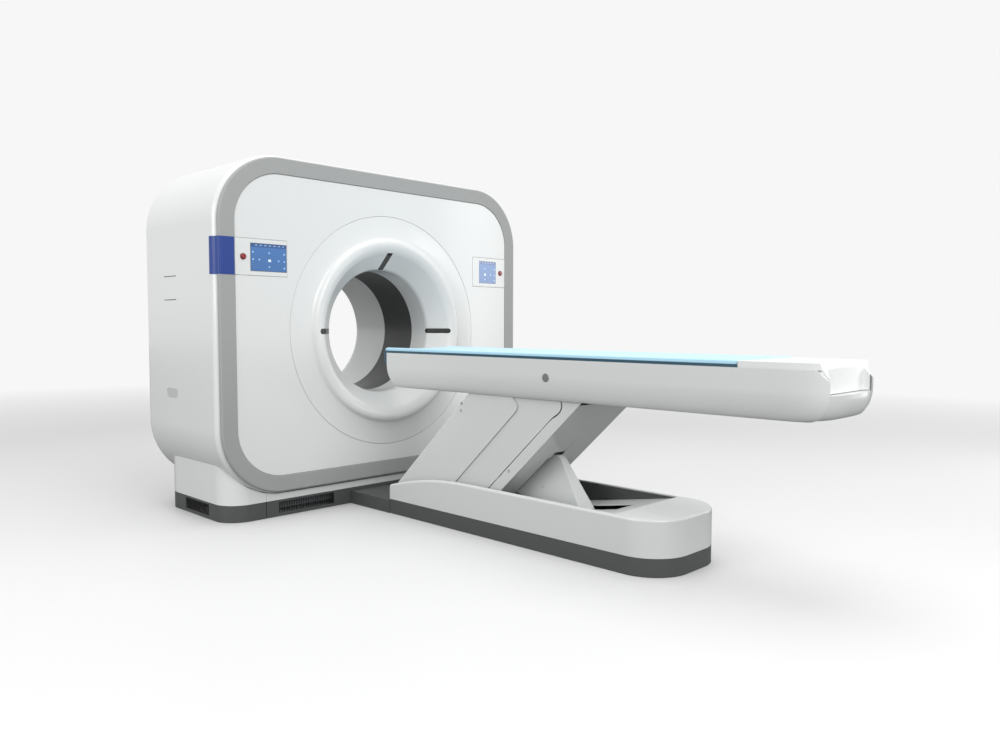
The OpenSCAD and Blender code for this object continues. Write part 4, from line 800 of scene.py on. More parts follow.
def field(inset):
    """Outline of the field inside the bezel."""
    g = gantry()
    i = g.band + g.gap + inset
    return round_box(BEZEL[0].x + i, BEZEL[1].x - i, BEZEL[0].z + i, BEZEL[1].z - i, g.corner - i, g.steps)


def circle(x, z, radius, count=120):
    """A round hole as a function of its inset."""
    return lambda inset: [(x + (radius + inset) * math.cos(2 * math.pi * k / count),
                           z + (radius + inset) * math.sin(2 * math.pi * k / count)) for k in range(count)]


def panel_levels():
    """Lowest and highest level of the control panels."""
    middle = (SCREENS[0].z + SCREENS[1].z) / 2
    return middle - gantry().panel_height / 2, middle + gantry().panel_height / 2


def notched_field(inset):
    """Outline of the front cover: the field with a notch for each control panel."""
    g = gantry()
    low, high = panel_levels()
    low, high, end = low - inset, high + inset, g.panel_inner - inset
    points = field(inset)
    quarter = len(points) // 4
    edge = points[0][0]
    right = [(edge, low), (end, low), (end, high), (edge, high)]
    left = [(-edge, high), (-end, high), (-end, low), (-edge, low)]
    return points[:2 * quarter] + left + points[2 * quarter:] + right


def cover_face():
    """Depth of the front cover's face."""
    return FACE + gantry().sink


class BuildShell(bpy.types.Operator):
    """Makes the side shell with its service slits and latches"""
    bl_idname = "ct.build_shell"
    bl_label = "Side shell"

    def execute(self, context):
        shell = swept("side_shell", shell_section(), "cover_white")
        side, depth, slit_levels, slit = SHELL[1].x, 20 * MM, (1.159, 1.285), 2 * MM
        cutters = [block("floor_opening", (-0.860, FACE + 0.090, SHELL[0].z - 0.01), (0.860, FACE + 0.660, 0.20))]
        latch = round_box(FACE + 0.462, FACE + 0.596, 0.631, 0.681, 0.024)
        for x in (-side, side):
            for level in slit_levels:
                cutters.append(block("slit", (x - depth, FACE + 0.456, level - slit),
                                     (x + depth, FACE + 0.602, level + slit)))
            cutters.append(prism("latch_pocket", latch, "X", x - depth, x + depth))
        combined(shell, cutters)
        finished(shell, "cover_white", replaced=["outer_shell"])
        # The latches' darker grey is painted shade of their pockets
        dressed("side_latches", 1.5 * MM, look="latch_grey")
        return {"FINISHED"}


class BuildFront(bpy.types.Operator):
    """Makes the grey bezel, the front cover and the rear cover"""
    bl_idname = "ct.build_front"
    bl_label = "Bezel and covers"

    def execute(self, context):
        g = gantry()
        finished(swept("grey_bezel", bezel_section(), "bezel_grey"), "bezel_grey", replaced=["front_bezel"])
        y0 = cover_face()
        seam = circle(0, BORE_Z, g.seam + g.gap, 192)
        front = plate("front_face", notched_field, [seam], y0, y0 + g.wall)
        finished(front, "cover_white", replaced=["front_cover"])
        back = SHELL[1].y
        opening = circle(0, BORE_Z, g.bore + g.rear_reach + REAR_LIP + g.gap, 192)
        slots = [lambda inset, x=x, z=z: round_box(x - inset, x + 0.180 + inset, z - inset, z + 0.009 + inset, 0.004, 3)
                 for x in (-0.600, 0.420) for z in [0.330 + 0.022 * k for k in range(6)]]
        rear = plate("rear_face", field, [opening, *slots], back, back - g.wall)
        finished(rear, "cover_white", replaced=["rear_cover"])
        return {"FINISHED"}


def mouth_line(wall):
    """Line of the mouth from the scan window over the cone to the ridge, moved into its wall."""
    g = gantry()
    angle = g.mouth_angle
    length = g.mouth_depth + g.ridge
    turn = (g.reach * math.cos(angle) - length * math.sin(angle)) / (1 - math.sin(angle))
    bend = FACE + g.mouth_depth + g.mouth_bend * math.tan(angle / 2)
    degrees = math.degrees(angle)
    return ([(g.bore + wall, WINDOW[0].y)]
            + arc(g.bore + g.mouth_bend, bend, g.mouth_bend - wall, 180, 180 + degrees, 12)
            + arc(g.bore + g.reach, FACE - g.ridge + turn, turn - wall, 180 + degrees, 270, 16))


def mouth_outside():
    """Line from the ridge over the step to the round seam."""
    g = gantry()
    ridge, front = g.bore + g.reach, FACE - g.ridge
    through = [(ridge, front), (ridge + 0.012, front + 0.002), (ridge + 0.022, front + 0.009),
               (ridge + 0.031, front + 0.0165), (ridge + 0.046, front + 0.0205), (g.seam - 0.080, front + 0.0245),
               (g.seam - 0.030, front + 0.0280), (g.seam - 1.2 * MM, front + 0.0290)]
    return smooth_line(through, 5)[1:]


class BuildBore(bpy.types.Operator):
    """Makes the bell mouth, the scan window ring, the rear flare and the laser windows"""
    bl_idname = "ct.build_bore"
    bl_label = "Bore"

    def execute(self, context):
        g = gantry()
        y0 = cover_face()
        ridge = g.bore + g.reach
        rim = [(g.seam, y0 + 1.2 * MM), (g.seam, y0 + g.wall), (ridge + 0.044, y0 + g.wall),
               (ridge + 0.022, y0 + g.wall)]
        mouth = turned("bell_mouth_lining", mouth_line(0) + mouth_outside() + rim + mouth_line(g.tube_wall)[::-1],
                       "cover_white")
        finished(mouth, "cover_white", replaced=["bell_mouth"], smooth=50)
        r, w, edge = g.bore, g.tube_wall, 0.6 * MM
        ring = turned("scan_window_ring", [(r + edge, WINDOW[0].y), (r + w, WINDOW[0].y), (r + w, WINDOW[1].y),
                                           (r + edge, WINDOW[1].y), (r, WINDOW[1].y - edge), (r, WINDOW[0].y + edge)],
                      "window_dark")
        finished(ring, "window_dark", replaced=["scan_window"])
        back, length, reach = SHELL[1].y, g.rear_flare, g.rear_reach
        swing, start = [math.radians(5 * k) for k in range(19)], back - length
        inner = [(r + reach * (1 - math.cos(a)), start + length * math.sin(a)) for a in swing]
        outer = [(r + w + (reach - w) * (1 - math.cos(a)), start + (length - g.wall) * math.sin(a)) for a in swing]
        lip = [(r + reach + REAR_LIP, back - g.wall), (r + reach + REAR_LIP, back)]
        flare = turned("rear_flare_lining", [(r, WINDOW[1].y), (r + w, WINDOW[1].y)] + outer + lip + inner[::-1],
                       "cover_white")
        finished(flare, "cover_white", replaced=["rear_flare"])
        self.laser_windows()
        return {"FINISHED"}

    def laser_windows(self):
        """Glossy strips that follow the mouth's line, in the three slots of the frame."""
        g = gantry()
        line = mouth_line(0)
        # Clock angle, half width, whether the ends are round, and where a strip starts and ends
        lasers = [(180, g.slot_height / 2, True, FACE - 0.0243, FACE + 0.1065),
                  (0, g.slot_height / 2, True, FACE - 0.0155, FACE + 0.1065),
                  (90, 0.0190, False, FACE - 0.0075, FACE + 0.0935)]
        profile = ((-1, -1.0 * MM), (-1, 0.2 * MM), (-0.92, 0.5 * MM), (0, 0.55 * MM), (0.92, 0.5 * MM), (1, 0.2 * MM),
                   (1, -1.0 * MM))
        for clock, half, round_ends, front, back in lasers:
            stretch = path_between(line, front, back, 40)
            total = stretch[-1][2]
            sections = []
            for radius, y, along, nr, ny in stretch:
                end = min(along, total - along)
                width = half * math.sqrt(max(0.0, 1 - (1 - end / half) ** 2)) if round_ends and end < half else half
                width = max(width, 0.2 * MM)
                sections.append([strip_point(clock, radius, y, nr, ny, u * width, lift) for u, lift in profile])
            finished(loft(f"laser_strip_{clock}", sections, ring=False), "laser_black",
                     replaced=["laser_windows"] if clock == 180 else ())


def path_between(line, front, back, steps):
    """Points along the mouth's line between two depths: radius, depth, way along and the face's normal."""
    fine = [(r0 + (r1 - r0) * k / 24, y0 + (y1 - y0) * k / 24)
            for (r0, y0), (r1, y1) in zip(line, line[1:]) for k in range(24)]
    kept = [p for p in fine if front <= p[1] <= back]
    kept = kept[::max(1, len(kept) // steps)]
    found, along = [], 0.0
    for k, (r, y) in enumerate(kept):
        before, after = kept[max(k - 1, 0)], kept[min(k + 1, len(kept) - 1)]
        dr, dy = after[0] - before[0], after[1] - before[1]
        size = math.hypot(dr, dy) or 1.0
        if k:
            along += math.hypot(r - kept[k - 1][0], y - kept[k - 1][1])
        found.append((r, y, along, dy / size, -dr / size))
    return found


def strip_point(clock, radius, y, nr, ny, side, lift):
    """A point beside the mouth's line at a clock angle, lifted off the face."""
    r = radius + nr * lift
    turn = math.radians(clock) + side / radius
    return (r * math.cos(turn), y + ny * lift, BORE_Z + r * math.sin(turn))


# Controls

class BuildControls(bpy.types.Operator):
    """Makes the control panels, touch screens, stop buttons and the blue end cap"""
    bl_idname = "ct.build_controls"
    bl_label = "Controls"

    def execute(self, context):
        g = gantry()
        low, high = panel_levels()
        edge = BEZEL[1].x - g.band - g.gap
        y0 = cover_face() - 1 * MM
        middle = (low + high) / 2
        for s, side in ((-1, "left"), (1, "right")):
            x0, x1 = sorted((s * (g.panel_inner + g.gap), s * edge))
            s0, s1 = sorted((s * (SCREEN_INNER + (RIGHT_SCREEN_CUT if s > 0 else 0.0)), s * SCREENS[1].x))
            panel = plate(f"control_panel_{side}",
                          lambda i: round_box(x0 + i, x1 - i, low + g.gap + i, high - g.gap - i, 1.5 * MM, 3),
                          [lambda i: round_box(s0 - i, s1 + i, SCREENS[0].z - i, SCREENS[1].z + i, 1 * MM, 3),
                           circle(s * g.stop_x, middle, g.stop_radius + 0.3 * MM, 48)], y0, y0 + g.wall, 0.8 * MM)
            finished(panel, "cover_white", replaced=["control_panels"] if s < 0 else ())
            glass = plate(f"touch_screen_{side}",
                          lambda i: round_box(s0 + 0.3 * MM + i, s1 - 0.3 * MM - i, SCREENS[0].z + i, SCREENS[1].z - i,
                                              1 * MM, 3), [], y0 - 0.5 * MM, y0 + g.wall, 0.4 * MM)
            finished(glass, "screen_blue", replaced=["touch_screens"] if s < 0 else ())
            self.stop_button(s * g.stop_x, middle, side)
        self.end_cap(low, high)
        return {"FINISHED"}

    def stop_button(self, x, z, side):
        """A domed cap that rides on the button and a raised guard ring on the panel."""
        g = gantry()
        r, face = g.stop_radius, cover_face()
        profile = ([(0.0, face - 9 * MM)] + arc(r - 4 * MM, face - 5 * MM, 4 * MM, 270, 360, 6)
                   + [(r, face + g.wall), (0.0, face + g.wall)])
        cap = turned(f"stop_cap_{side}", profile, "button_red", x, z, 12)
        finished(cap, "button_red", f"stop_{side}", [f"stop_button_{side}"])
        guard = turned(f"stop_guard_{side}",
                       [(r + 0.5 * MM, face - 1 * MM), (r + 0.5 * MM, face - 3.0 * MM)]
                       + arc(r + 1.6 * MM, face - 3.0 * MM, 1.1 * MM, 180, 360, 6)
                       + [(r + 2.7 * MM, face - 1 * MM)], "button_red", x, z, 12)
        finished(guard, "button_red", look="guard_red")

    def end_cap(self, low, high):
        """Blue cap that wraps the bezel and the shell beside the left panel."""
        g = gantry()
        proud, wall, bend, side = 2.5 * MM, 2.0 * MM, 10 * MM, SHELL[1].x - BEZEL[1].x
        shell_u, shell_y = side - g.front_round, FACE + g.bezel_depth + g.front_round
        outer = ([(-g.band + 4 * MM, FACE - 0.4 * MM), (-g.band + 4.8 * MM, FACE - proud)]
                 + arc(-bend, FACE + bend, bend + proud, 270, 360, 10)
                 + [(proud, FACE + 0.020), (proud + 0.6 * MM, FACE + 0.0262)]
                 + arc(shell_u, shell_y, g.front_round + proud, -42, 0, 8)
                 + [(side + proud, FACE + 0.0694), (side + 0.4 * MM, FACE + 0.070)])
        inner = (arc(shell_u, shell_y, g.front_round + proud - wall, 0, -42, 8)
                 + [(proud - wall + 0.5 * MM, FACE + 0.0262), (proud - wall, FACE + 0.020)]
                 + arc(-bend, FACE + bend, bend + proud - wall, 360, 270, 10)
                 + [(-g.band + 5 * MM, FACE - proud + wall)])
        outline = [(BEZEL[0].x - u, y) for u, y in outer + inner]
        cap = prism("blue_end_cap", outline, "Z", low + 1 * MM, high - 1 * MM)
        softened(cap, 0.5 * MM, 50)
        finished(cap, "cap_blue", replaced=["end_cap"], smooth=50)


# Gantry plinth

def plan_path(half, front, back, front_corner, back_corner, steps=16, straights=24):
    """Points and outward directions round a plan with round corners: x, y, nx, ny."""
    corners = [(half - front_corner, front + front_corner, front_corner, -90),
               (half - back_corner, back - back_corner, back_corner, 0),
               (-half + back_corner, back - back_corner, back_corner, 90),
               (-half + front_corner, front + front_corner, front_corner, 180)]
    path = []
    for k, (x, y, r, start) in enumerate(corners):
        for j in range(steps + 1):
            a = math.radians(start + 90 * j / steps)
            path.append((x + r * math.cos(a), y + r * math.sin(a), math.cos(a), math.sin(a)))
        nx, ny = path[-1][2:]
        x2, y2, r2, start2 = corners[(k + 1) % 4]
        a2 = math.radians(start2)
        end = (x2 + r2 * math.cos(a2), y2 + r2 * math.sin(a2))
        sx, sy = path[-1][:2]
        path += [(sx + (end[0] - sx) * t / straights, sy + (end[1] - sy) * t / straights, nx, ny)
                 for t in range(1, straights)]
    return path


def wall_round(name, path, section):
    """Upright wall: at each place of the path the section gives (outward, height) points."""
    return loft(name, [[(x + u * nx, y + u * ny, z) for u, z in section(x, y)] for x, y, nx, ny in path])


def shell_underside(x):
    """Height of the shell's underside at a distance from the middle plane."""
    g = gantry()
    radius = g.corner + SHELL[1].x - BEZEL[1].x
    over = max(0.0, abs(x) - (BEZEL[1].x - g.corner))
    return SHELL[0].z + radius - math.sqrt(max(0.0, radius ** 2 - over ** 2))


class BuildPlinth(bpy.types.Operator):
    """Makes the plinth with its vents, the white skirt above it and the floor duct"""
    bl_idname = "ct.build_plinth"
    bl_label = "Plinth"

    def execute(self, context):
        wall, top, corner, longer = 5 * MM, PLINTH[1].z, 0.130, 0.055
        path = plan_path(PLINTH[1].x, PLINTH[0].y, PLINTH[1].y + longer, corner, corner)
        band = wall_round("plinth_wall", path, lambda x, y: [(-wall, 0.0), (0.0, 0.0), (0.0, top - 1 * MM),
                                                             (-1 * MM, top), (-wall, top)])
        front, low, high, seam_x, seam, seam_depth = PLINTH[0].y, 0.018, 0.078, 0.800, 2 * MM, 4.5 * MM
        cutters, seams = [], []
        for s in (-1, 1):
            x0, x1 = sorted((s * 0.375, s * 0.725))
            cutters.append(block("vent", (x0, front - 0.01, low), (x1, front + 0.02, high)))
            x0, x1 = sorted((s * (PLINTH[1].x - 0.02), s * (PLINTH[1].x + 0.01)))
            cutters.append(block("vent", (x0, FACE + 0.245, low), (x1, FACE + 0.515, high)))
            for pieces in (cutters, seams):
                pieces.append(block("seam", (s * seam_x - seam, front - 0.01, -0.01),
                                    (s * seam_x + seam, front + seam_depth, 0.3)))
        combined(band, cutters)
        finished(band, "plinth_grey", replaced=["plinth_band"])
        skirt = wall_round("skirt_wall", path, lambda x, y: [
            (-wall, top), (0.0, top), (0.0, shell_underside(x) - 0.3 * MM), (-wall, shell_underside(x) - 0.3 * MM)])
        combined(skirt, seams)
        finished(skirt, "cover_white", replaced=["skirt_cover"])
        self.grilles("left", -1, -0.735, (low + high) / 2)
        self.grilles("right", 1, 0.365, (low + high) / 2)
        dressed("floor_duct", 1.0 * MM)
        return {"FINISHED"}

    def grilles(self, end, s, x0, middle):
        """Upright slats behind the front and the side vent of one end."""
        pitch, slat, depth, height, behind = 0.015, 0.005, 0.004, 0.064, 0.007
        front = [(x0 + slat / 2 + pitch * k, PLINTH[0].y + behind, middle) for k in range(25)]
        side = [(s * (PLINTH[1].x - behind), FACE + 0.235 + slat / 2 + pitch * k, middle) for k in range(20)]
        for place, points, across, along in (("front", front, slat, depth), ("side", side, depth, slat)):
            slats = grown(f"{place}_slats_{end}", points, False, copies_tree, "grille_black",
                          Size=(across, along, height))
            finished(slats, "grille_black", replaced=["plinth_grilles"] if points is front and s < 0 else ())


# Table base

def rim_height(d):
    """Height of the base's rim at a distance from the gantry's face: level, then bending down."""
    t = table()
    return t.rim - t.fall * max(0.0, t.fall_from - d) ** 2


class BuildTableBase(bpy.types.Operator):
    """Makes the table's plinth, its base cover with the open well, and the well's sloping floor"""
    bl_idname = "ct.build_table_base"
    bl_label = "Table base"

    def execute(self, context):
        t = table()
        plinth_top, w, lip, longer = BASE[0].z + 6 * MM, t.wall, 1 * MM, 12 * MM
        head = FACE - BASE[1].y - 8 * MM
        path = plan_path(BASE[1].x, BASE[0].y - longer, at(head), t.foot_corner, t.head_corner, 20, 48)
        band = wall_round("table_plinth_wall", path, lambda x, y: [(-w, 0.0), (-2 * MM, 0.0), (0.0, 2 * MM),
                                                                   (0.0, plinth_top), (-w, plinth_top)])
        finished(band, "plinth_grey", replaced=["table_plinth"])

        sections = []
        for x, y, nx, ny in path:
            top = rim_height(FACE - y)
            soft = (13 + 20 * max(0.0, ny) ** 2) * MM        # rounding of the top edge, softer at the head
            well = (max(-t.well_half, min(t.well_half, x)), max(at(t.well_foot), min(at(head + 15 * MM), y)))
            if ny > 0.5:
                well = (well[0], at(head + soft + 2 * MM))
            outer = [(x, y, plinth_top + 0.5 * MM)]
            outer += [(x + (u - soft) * nx, y + (u - soft) * ny, top - soft + v) for u, v in arc(0, 0, soft, 0, 90, 8)]
            sections.append(outer + [(*toward(well, (x, y), lip), top), (*well, top - lip), (*well, top - w),
                                     (x - w * nx, y - w * ny, top - w - soft), (x - w * nx, y - w * ny, plinth_top)])
        cover = loft("base_cover_wall", sections)
        combined(cover, [block("notch", (-0.2185, at(0.362), 0.05), (0.2185, at(head + 16 * MM), 0.3))])
        finished(cover, "cover_grey", replaced=["table_base_cover"], smooth=40)
        self.shade_sheets(head)
        dressed("base_ramp", 0.6 * MM)
        return {"FINISHED"}

    def shade_sheets(self, head):
        """Dark sheets that line the well's long sides: painted shade of the well's inner walls."""
        t = table()
        bottom, below_rim = 0.110, 9 * MM
        stations = [head + 0.040 + (t.well_foot - 0.060 - head) * k / 30 for k in range(31)]
        outline = [(at(d), rim_height(d) - below_rim) for d in stations]
        outline += [(at(stations[-1]), bottom), (at(stations[0]), bottom)]
        for s, side in ((-1, "left"), (1, "right")):
            x0, x1 = sorted((s * (t.well_half - 0.3 * MM), s * (t.well_half + 1.5 * MM)))
            # Each sheet stands in for the shade inside the well: painted shade
            sheet = prism(f"well_liner_{side}", outline, "X", x0, x1)
            finished(sheet, "plinth_grey", look="liner_grey")


def toward(start, goal, distance):
    """A place in plan that lies a distance from the start on the way to the goal."""
    way = Vector((goal[0] - start[0], goal[1] - start[1]))
    if way.length < 1e-6:
        return start
    way = way.normalized() * distance
    return start[0] + way.x, start[1] + way.y


# Lift

class BuildLift(bpy.types.Operator):
    """Dresses the lift's covers, strut and arms and sets their screws"""
    bl_idname = "ct.build_lift"
    bl_label = "Lift covers"

    # Distances of the arms' lower pins from the face, their level, the arms' lean and the covers' top at rest
    front_pivot, rear_pivot, pivot_z, lean, cover_top = 0.457, 0.907, 0.120, math.radians(43), 0.720
    sheet = 3 * MM

    def execute(self, context):
        front, rear = self.front_pivot, self.rear_pivot
        reach, hook = 0.122, 0.0478
        top = self.level_at
        outline = [(-0.051, reach), (-0.060, reach - 0.014), (-0.060, 0.0), (0.030, -0.030), (0.200, -0.150)]
        outline += smooth_line([(top(-0.150) - 3.1 * hook, -0.150), (top(-0.150) - 2.45 * hook, -0.140),
                                (top(-0.110) - 1.45 * hook, -0.108), (top(-0.070) - 0.55 * hook, -0.068),
                                (top(-0.045), -0.045)], 5)
        outline.append((top(reach), reach))
        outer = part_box("front_arm_cover")[1].x
        cover = self.sleeve("front_arm_sleeve", front, outline, reach, outer, 14 * MM)
        finished(cover, "cover_grey", "front_arm", ["front_arm_cover"])
        inner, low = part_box("middle_cover")[1].x, 0.1809
        high = low + 0.045
        outline = [(0.020, 0.0), (-0.020, low), (0.140, low), (top(low) - 0.140, low), (top(high) - 0.060, high),
                   (top(high), high), (top(0.060) + 0.010, 0.060)]
        outline += smooth_line([(0.812, 0.030), (0.803, 0.008), (0.786, -0.005), (0.758, -0.009), (0.728, -0.002)], 5)
        left, right = self.side_sheets("middle_sheets", outline, inner)
        cover = softened(combined(left, [right], "UNION"), 0.5 * MM, 50, 1)
        finished(cover, "cover_grey", "rear_arm", ["middle_cover"])
        self.rear_cover(inner)
        dressed("slot_shutter", 0.6 * MM)
        dressed("strut_cover", 1.0 * MM)
        for node in ("strut", "rear_arm", "front_arm", "lift_carriage"):
            dressed(node, 1.0 * MM)
        self.screws("front_cover_screws", "front_arm", outer, [(0.846, 0.635), (0.842, 0.600)], 0.007)
        self.screws("rear_cover_screws", "rear_arm", inner, [(1.169, 0.334)], 0.007)
        level = 0.244
        strut_half = 0.078 - 0.149 * level
        self.screws("strut_cover_screws", body_of("strut_cover"), strut_half, [(1.238, level)], 0.004)
        return {"FINISHED"}

    def level_at(self, across):
        """Way along an arm at which its cover reaches the cover's top level."""
        return (self.cover_top - self.pivot_z - across * math.cos(self.lean)) / math.sin(self.lean)

    def placed(self, pivot, outline):
        """Points (along, across) of an arm that leans on its pivot, in (y, z)."""
        c, s = math.cos(self.lean), math.sin(self.lean)
        return [(at(pivot + u * c - v * s), self.pivot_z + u * s + v * c) for u, v in outline]

    def side_sheets(self, name, outline, half):
        """A pair of side sheets of the rear arm's covers."""
        return [prism(name, self.placed(self.rear_pivot, outline), "X", *sorted((s * (half - self.sheet), s * half)))
                for s in (-1, 1)]

    def sleeve(self, name, pivot, outline, front, half, soft):
        """U-shaped sheet with softly rounded front edges, cut to its side outline."""
        def bar(inset):
            ends = self.placed(pivot, [(-0.4, front - inset), (1.4, front - inset), (1.4, -0.6), (-0.4, -0.6)])
            return softened(prism("bar", ends, "X", inset - half, half - inset), soft - inset * 0.9, 60, 4)
        whole = bar(0.0)
        whole.name = name
        combined(whole, [bar(self.sheet)])
        combined(whole, [prism("outline", self.placed(pivot, outline), "X", -0.5, 0.5)], "INTERSECT")
        return softened(whole, 0.5 * MM, 50, 1)

    def rear_cover(self, half):
        """Sheet behind the rear arm with the strut's slot, its side sheets filling up to the middle sleeve."""
        cover = dressed("rear_arm_cover", 0.0)
        outline = [(0.020, -0.0052), (0.150, -0.059), (0.937, -0.059), (self.level_at(0.045) - 0.003, 0.045),
                   (0.8135, 0.045)]
        outline += smooth_line([(0.8165, 0.026), (0.8075, 0.002), (0.7880, -0.0110), (0.7570, -0.0150),
                                (0.7250, -0.0072)], 5)
        outline.append((0.690, -0.0052))
        sides, inner = self.side_sheets("side", outline, half), half - self.sheet
        trims = []
        for s in (-1, 1):
            x0, x1 = sorted((s * inner, s * (half + 0.01)))
            trims.append(block("side_sheet", (x0, at(1.7), 0.0), (x1, at(0.8), 0.8)))
        trims.append(block("top", (-inner, at(1.75), 0.677), (inner, at(1.5), 0.75)))
        combined(cover, trims)
        combined(cover, sides, "UNION")
        softened(cover, 0.5 * MM, 50, 1)
        finished(cover, "cover_grey", "rear_arm", ["rear_arm_cover"])

    def screws(self, name, body, side, places, radius):
        """Screw heads on both side sheets of a cover."""
        points = [(s * side, at(d), z) for s in (-1, 1) for d, z in places]
        ways = [(s, 0.0, 0.0) for s in (-1, 1) for place in places]
        heads = grown(name, points, False, screws_tree, "frame_steel", way=ways, Radius=radius, Height=0.0012)
        finished(heads, "frame_steel", body)


# Table top

def foot_plan(half, reach, head, power=3, steps=64):
    """Plan of the table's end in (x, y): straight sides, then a full, square-shouldered curve round the foot."""
    start = table().foot_from
    quarter = []
    for k in range(steps + 1):
        u = k / steps
        a = math.pi / 2 * u ** 1.5 / (u ** 1.5 + (1 - u) ** 1.5)
        quarter.append((half * math.cos(a) ** (2 / power), start + reach * math.sin(a) ** (2 / power)))
    curve = quarter + [(-x, d) for x, d in quarter[-2::-1]]
    return [(x, at(d)) for x, d in [(half, head), *curve, (-half, head)]]


TOP, LOW = 0.876, TROUGH[0].z        # highest and lowest level of the side covers


def mattress_top():
    """Level of the mattress at its long edges."""
    return MATTRESS[1].z + 0.0147


def cradle_arc():
    """Level of the cradle's edge, and radius and centre of the arc that its upper face follows."""
    t = table()
    edge, half = mattress_top() - t.pad, CRADLE[1].x
    radius = (half * half + t.dip * t.dip) / (2 * t.dip)
    return edge, radius, edge - t.dip + radius


def tip_narrowing(d, head):
    """How much narrower cradle and mattress are at a distance, inside their rounded head corners."""
    tip = table().tip
    return tip - math.sqrt(max(0.0, tip ** 2 - max(0.0, tip - (d - head)) ** 2))


def trough_outline(inset):
    """Side outline of the table's covers in (y, z): rounded at the head, cut away softly at the foot."""
    i, top = inset, TOP
    d_z = ([(0.288 + i, top), (0.288 + i, 0.820)] + arc(0.373, LOW + 0.130, 0.085 - i, 180, 270, 14, 0.130 - i)
           + [(2.800 - i, LOW + i), (2.800 - i, 0.709), (2.648 - i, top)])
    return [(at(d), z) for d, z in d_z]


def trough_body(name, inset, reach, power=3):
    """Long body with a round foot whose sides turn in softly toward the bottom."""
    wide, high = table().trough_round - inset, 0.110 - inset
    levels = [(LOW + inset + high * (1 - math.cos(a)), wide * (1 - math.sin(a)))
              for a in (math.radians(90 * k / 14) for k in range(15))] + [(TOP + 1 * MM, 0.0)]
    return loft(name, [[(x, y, z) for x, y in foot_plan(TROUGH[1].x - inset - turn, reach - 1.6 * turn, 0.2, power)]
                       for z, turn in levels], ring=False)


def trough_solid(name, inset):
    """The side covers' outer form, or with an inset the room inside them."""
    side = prism("side", trough_outline(inset), "X", -0.4, 0.4)
    return combined(trough_body(name, inset, table().foot_reach - inset), [side], "INTERSECT")


